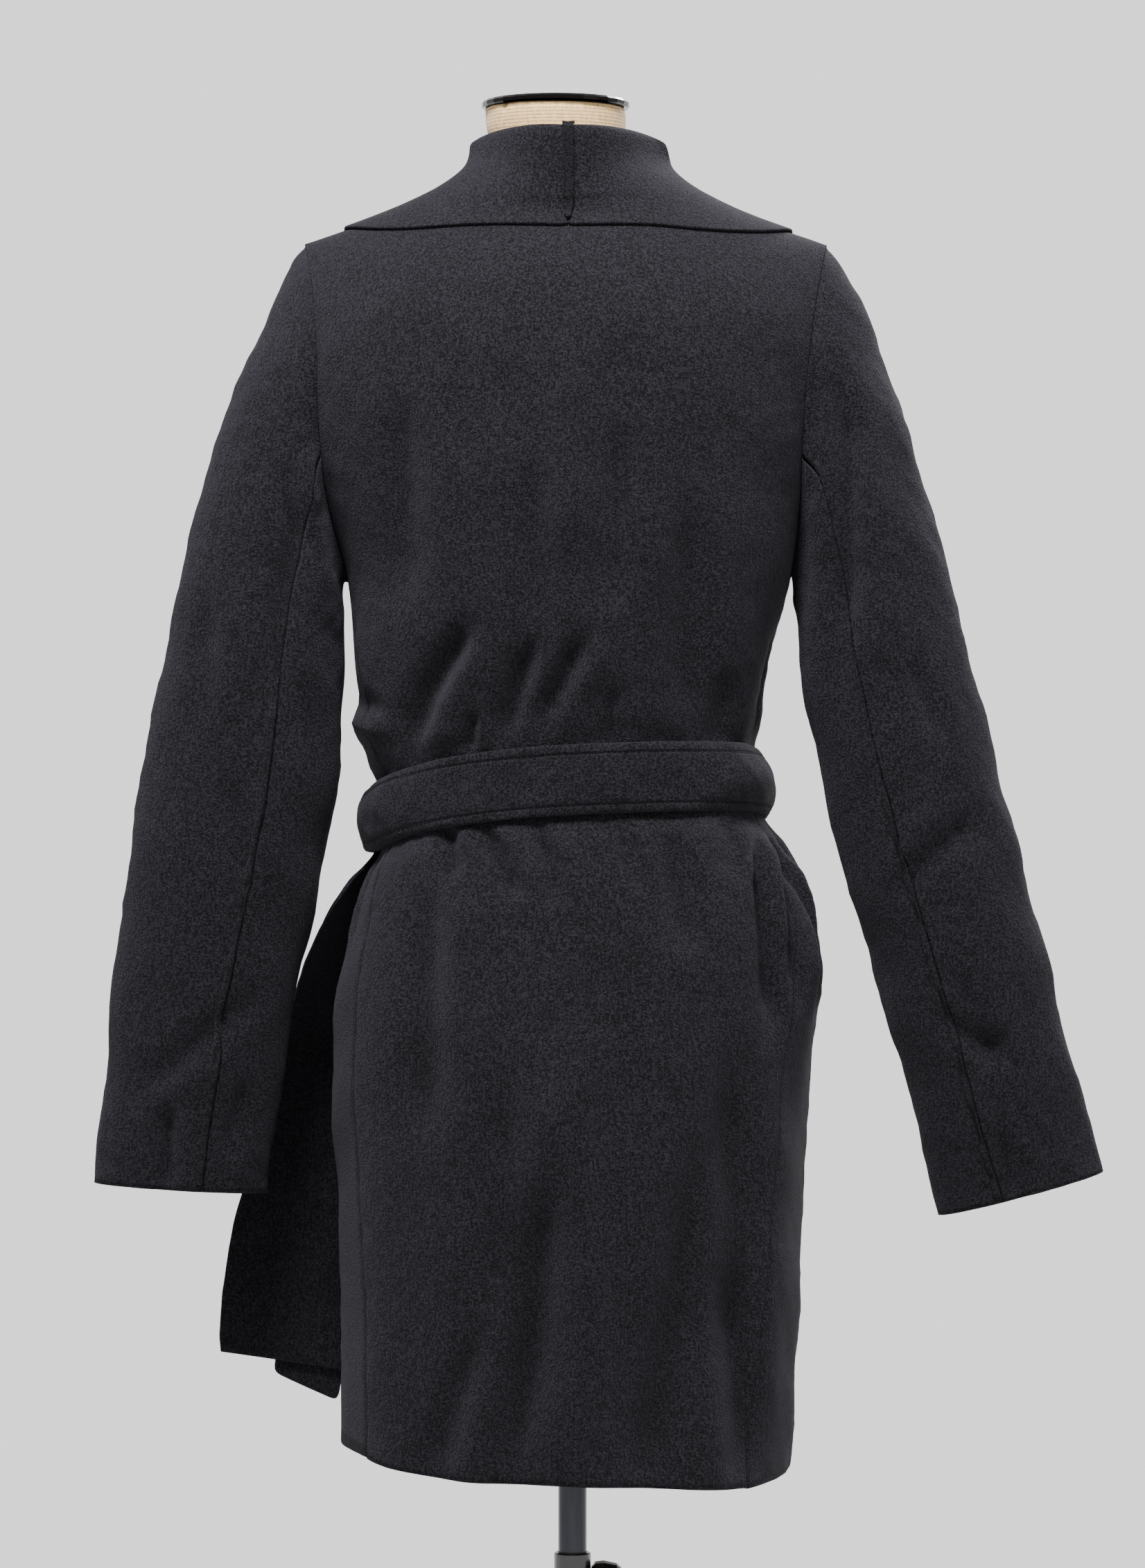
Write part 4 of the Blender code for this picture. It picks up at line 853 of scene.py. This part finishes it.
# studio: a pale round floor under a bright even sky, a soft key from above, and fill from the right and front
studio = {"floor": ("#d6d6d6", "#dcdcdc"), "toothScale": 3, "roughness": 0.9,
          "radius": 3.4, "segments": 96, "underMm": 1, "sky": "#ffffff", "skyStrength": 1.5}
paper, tree, shader = newMaterial("palePaper")
place = addNode(tree, "ShaderNodeTexCoord").outputs["Object"]
tooth = addNode(tree, "ShaderNodeTexNoise", {"Scale": studio["toothScale"], "Detail": 2}, {"Vector": place})
darker, paler = (linear(code) for code in studio["floor"])
paperColour = addNode(tree, "ShaderNodeMix", {"data_type": "RGBA", 6: darker, 7: paler},
                      {0: tooth.outputs["Fac"]})
tree.links.new(paperColour.outputs[2], shader.inputs["Base Color"])
shader.inputs["Roughness"].default_value = studio["roughness"]
disc = bmesh.new()
bmesh.ops.create_circle(disc, cap_ends=True, segments=studio["segments"], radius=studio["radius"])
bmesh.ops.translate(disc, verts=disc.verts, vec=(0, 0, -studio["underMm"] * mm))
floorMesh = bpy.data.meshes.new("paleFloor")
disc.to_mesh(floorMesh)
disc.free()
floorMesh.materials.append(paper)
paleFloor = bpy.data.objects.new("paleFloor", floorMesh)
bpy.context.scene.collection.objects.link(paleFloor)

softboxes = {
    "keySoftbox": {"at": (-0.25, -1.3, 3.2), "aim": (0, 0, 1.1), "size": (0.6, 0.6), "watts": 400},
    "fillSoftbox": {"at": (2.4, -2.0, 2.6), "aim": (0, 0, 1.1), "size": (1.0, 1.0), "watts": 40},
    "frontSoftbox": {"at": (1.4, 2.4, 3.0), "aim": (0, 0, 1.1), "size": (1.2, 1.2), "watts": 200},
}
for name, box in softboxes.items():
    lamp = bpy.data.lights.new(name, "AREA")
    lamp.shape = "RECTANGLE"
    lamp.size, lamp.size_y = box["size"]
    lamp.energy = box["watts"]
    light = bpy.data.objects.new(name, lamp)
    light.location = box["at"]
    light.rotation_euler = (Vector(box["aim"]) - Vector(box["at"])).to_track_quat("-Z", "Y").to_euler()
    bpy.context.scene.collection.objects.link(light)
world = bpy.data.worlds.new("studioAir")
bpy.context.scene.world = world
world.use_nodes = True
air = world.node_tree.nodes["Background"]
air.inputs["Color"].default_value = linear(studio["sky"])
air.inputs["Strength"].default_value = studio["skyStrength"]
print("studio lit")
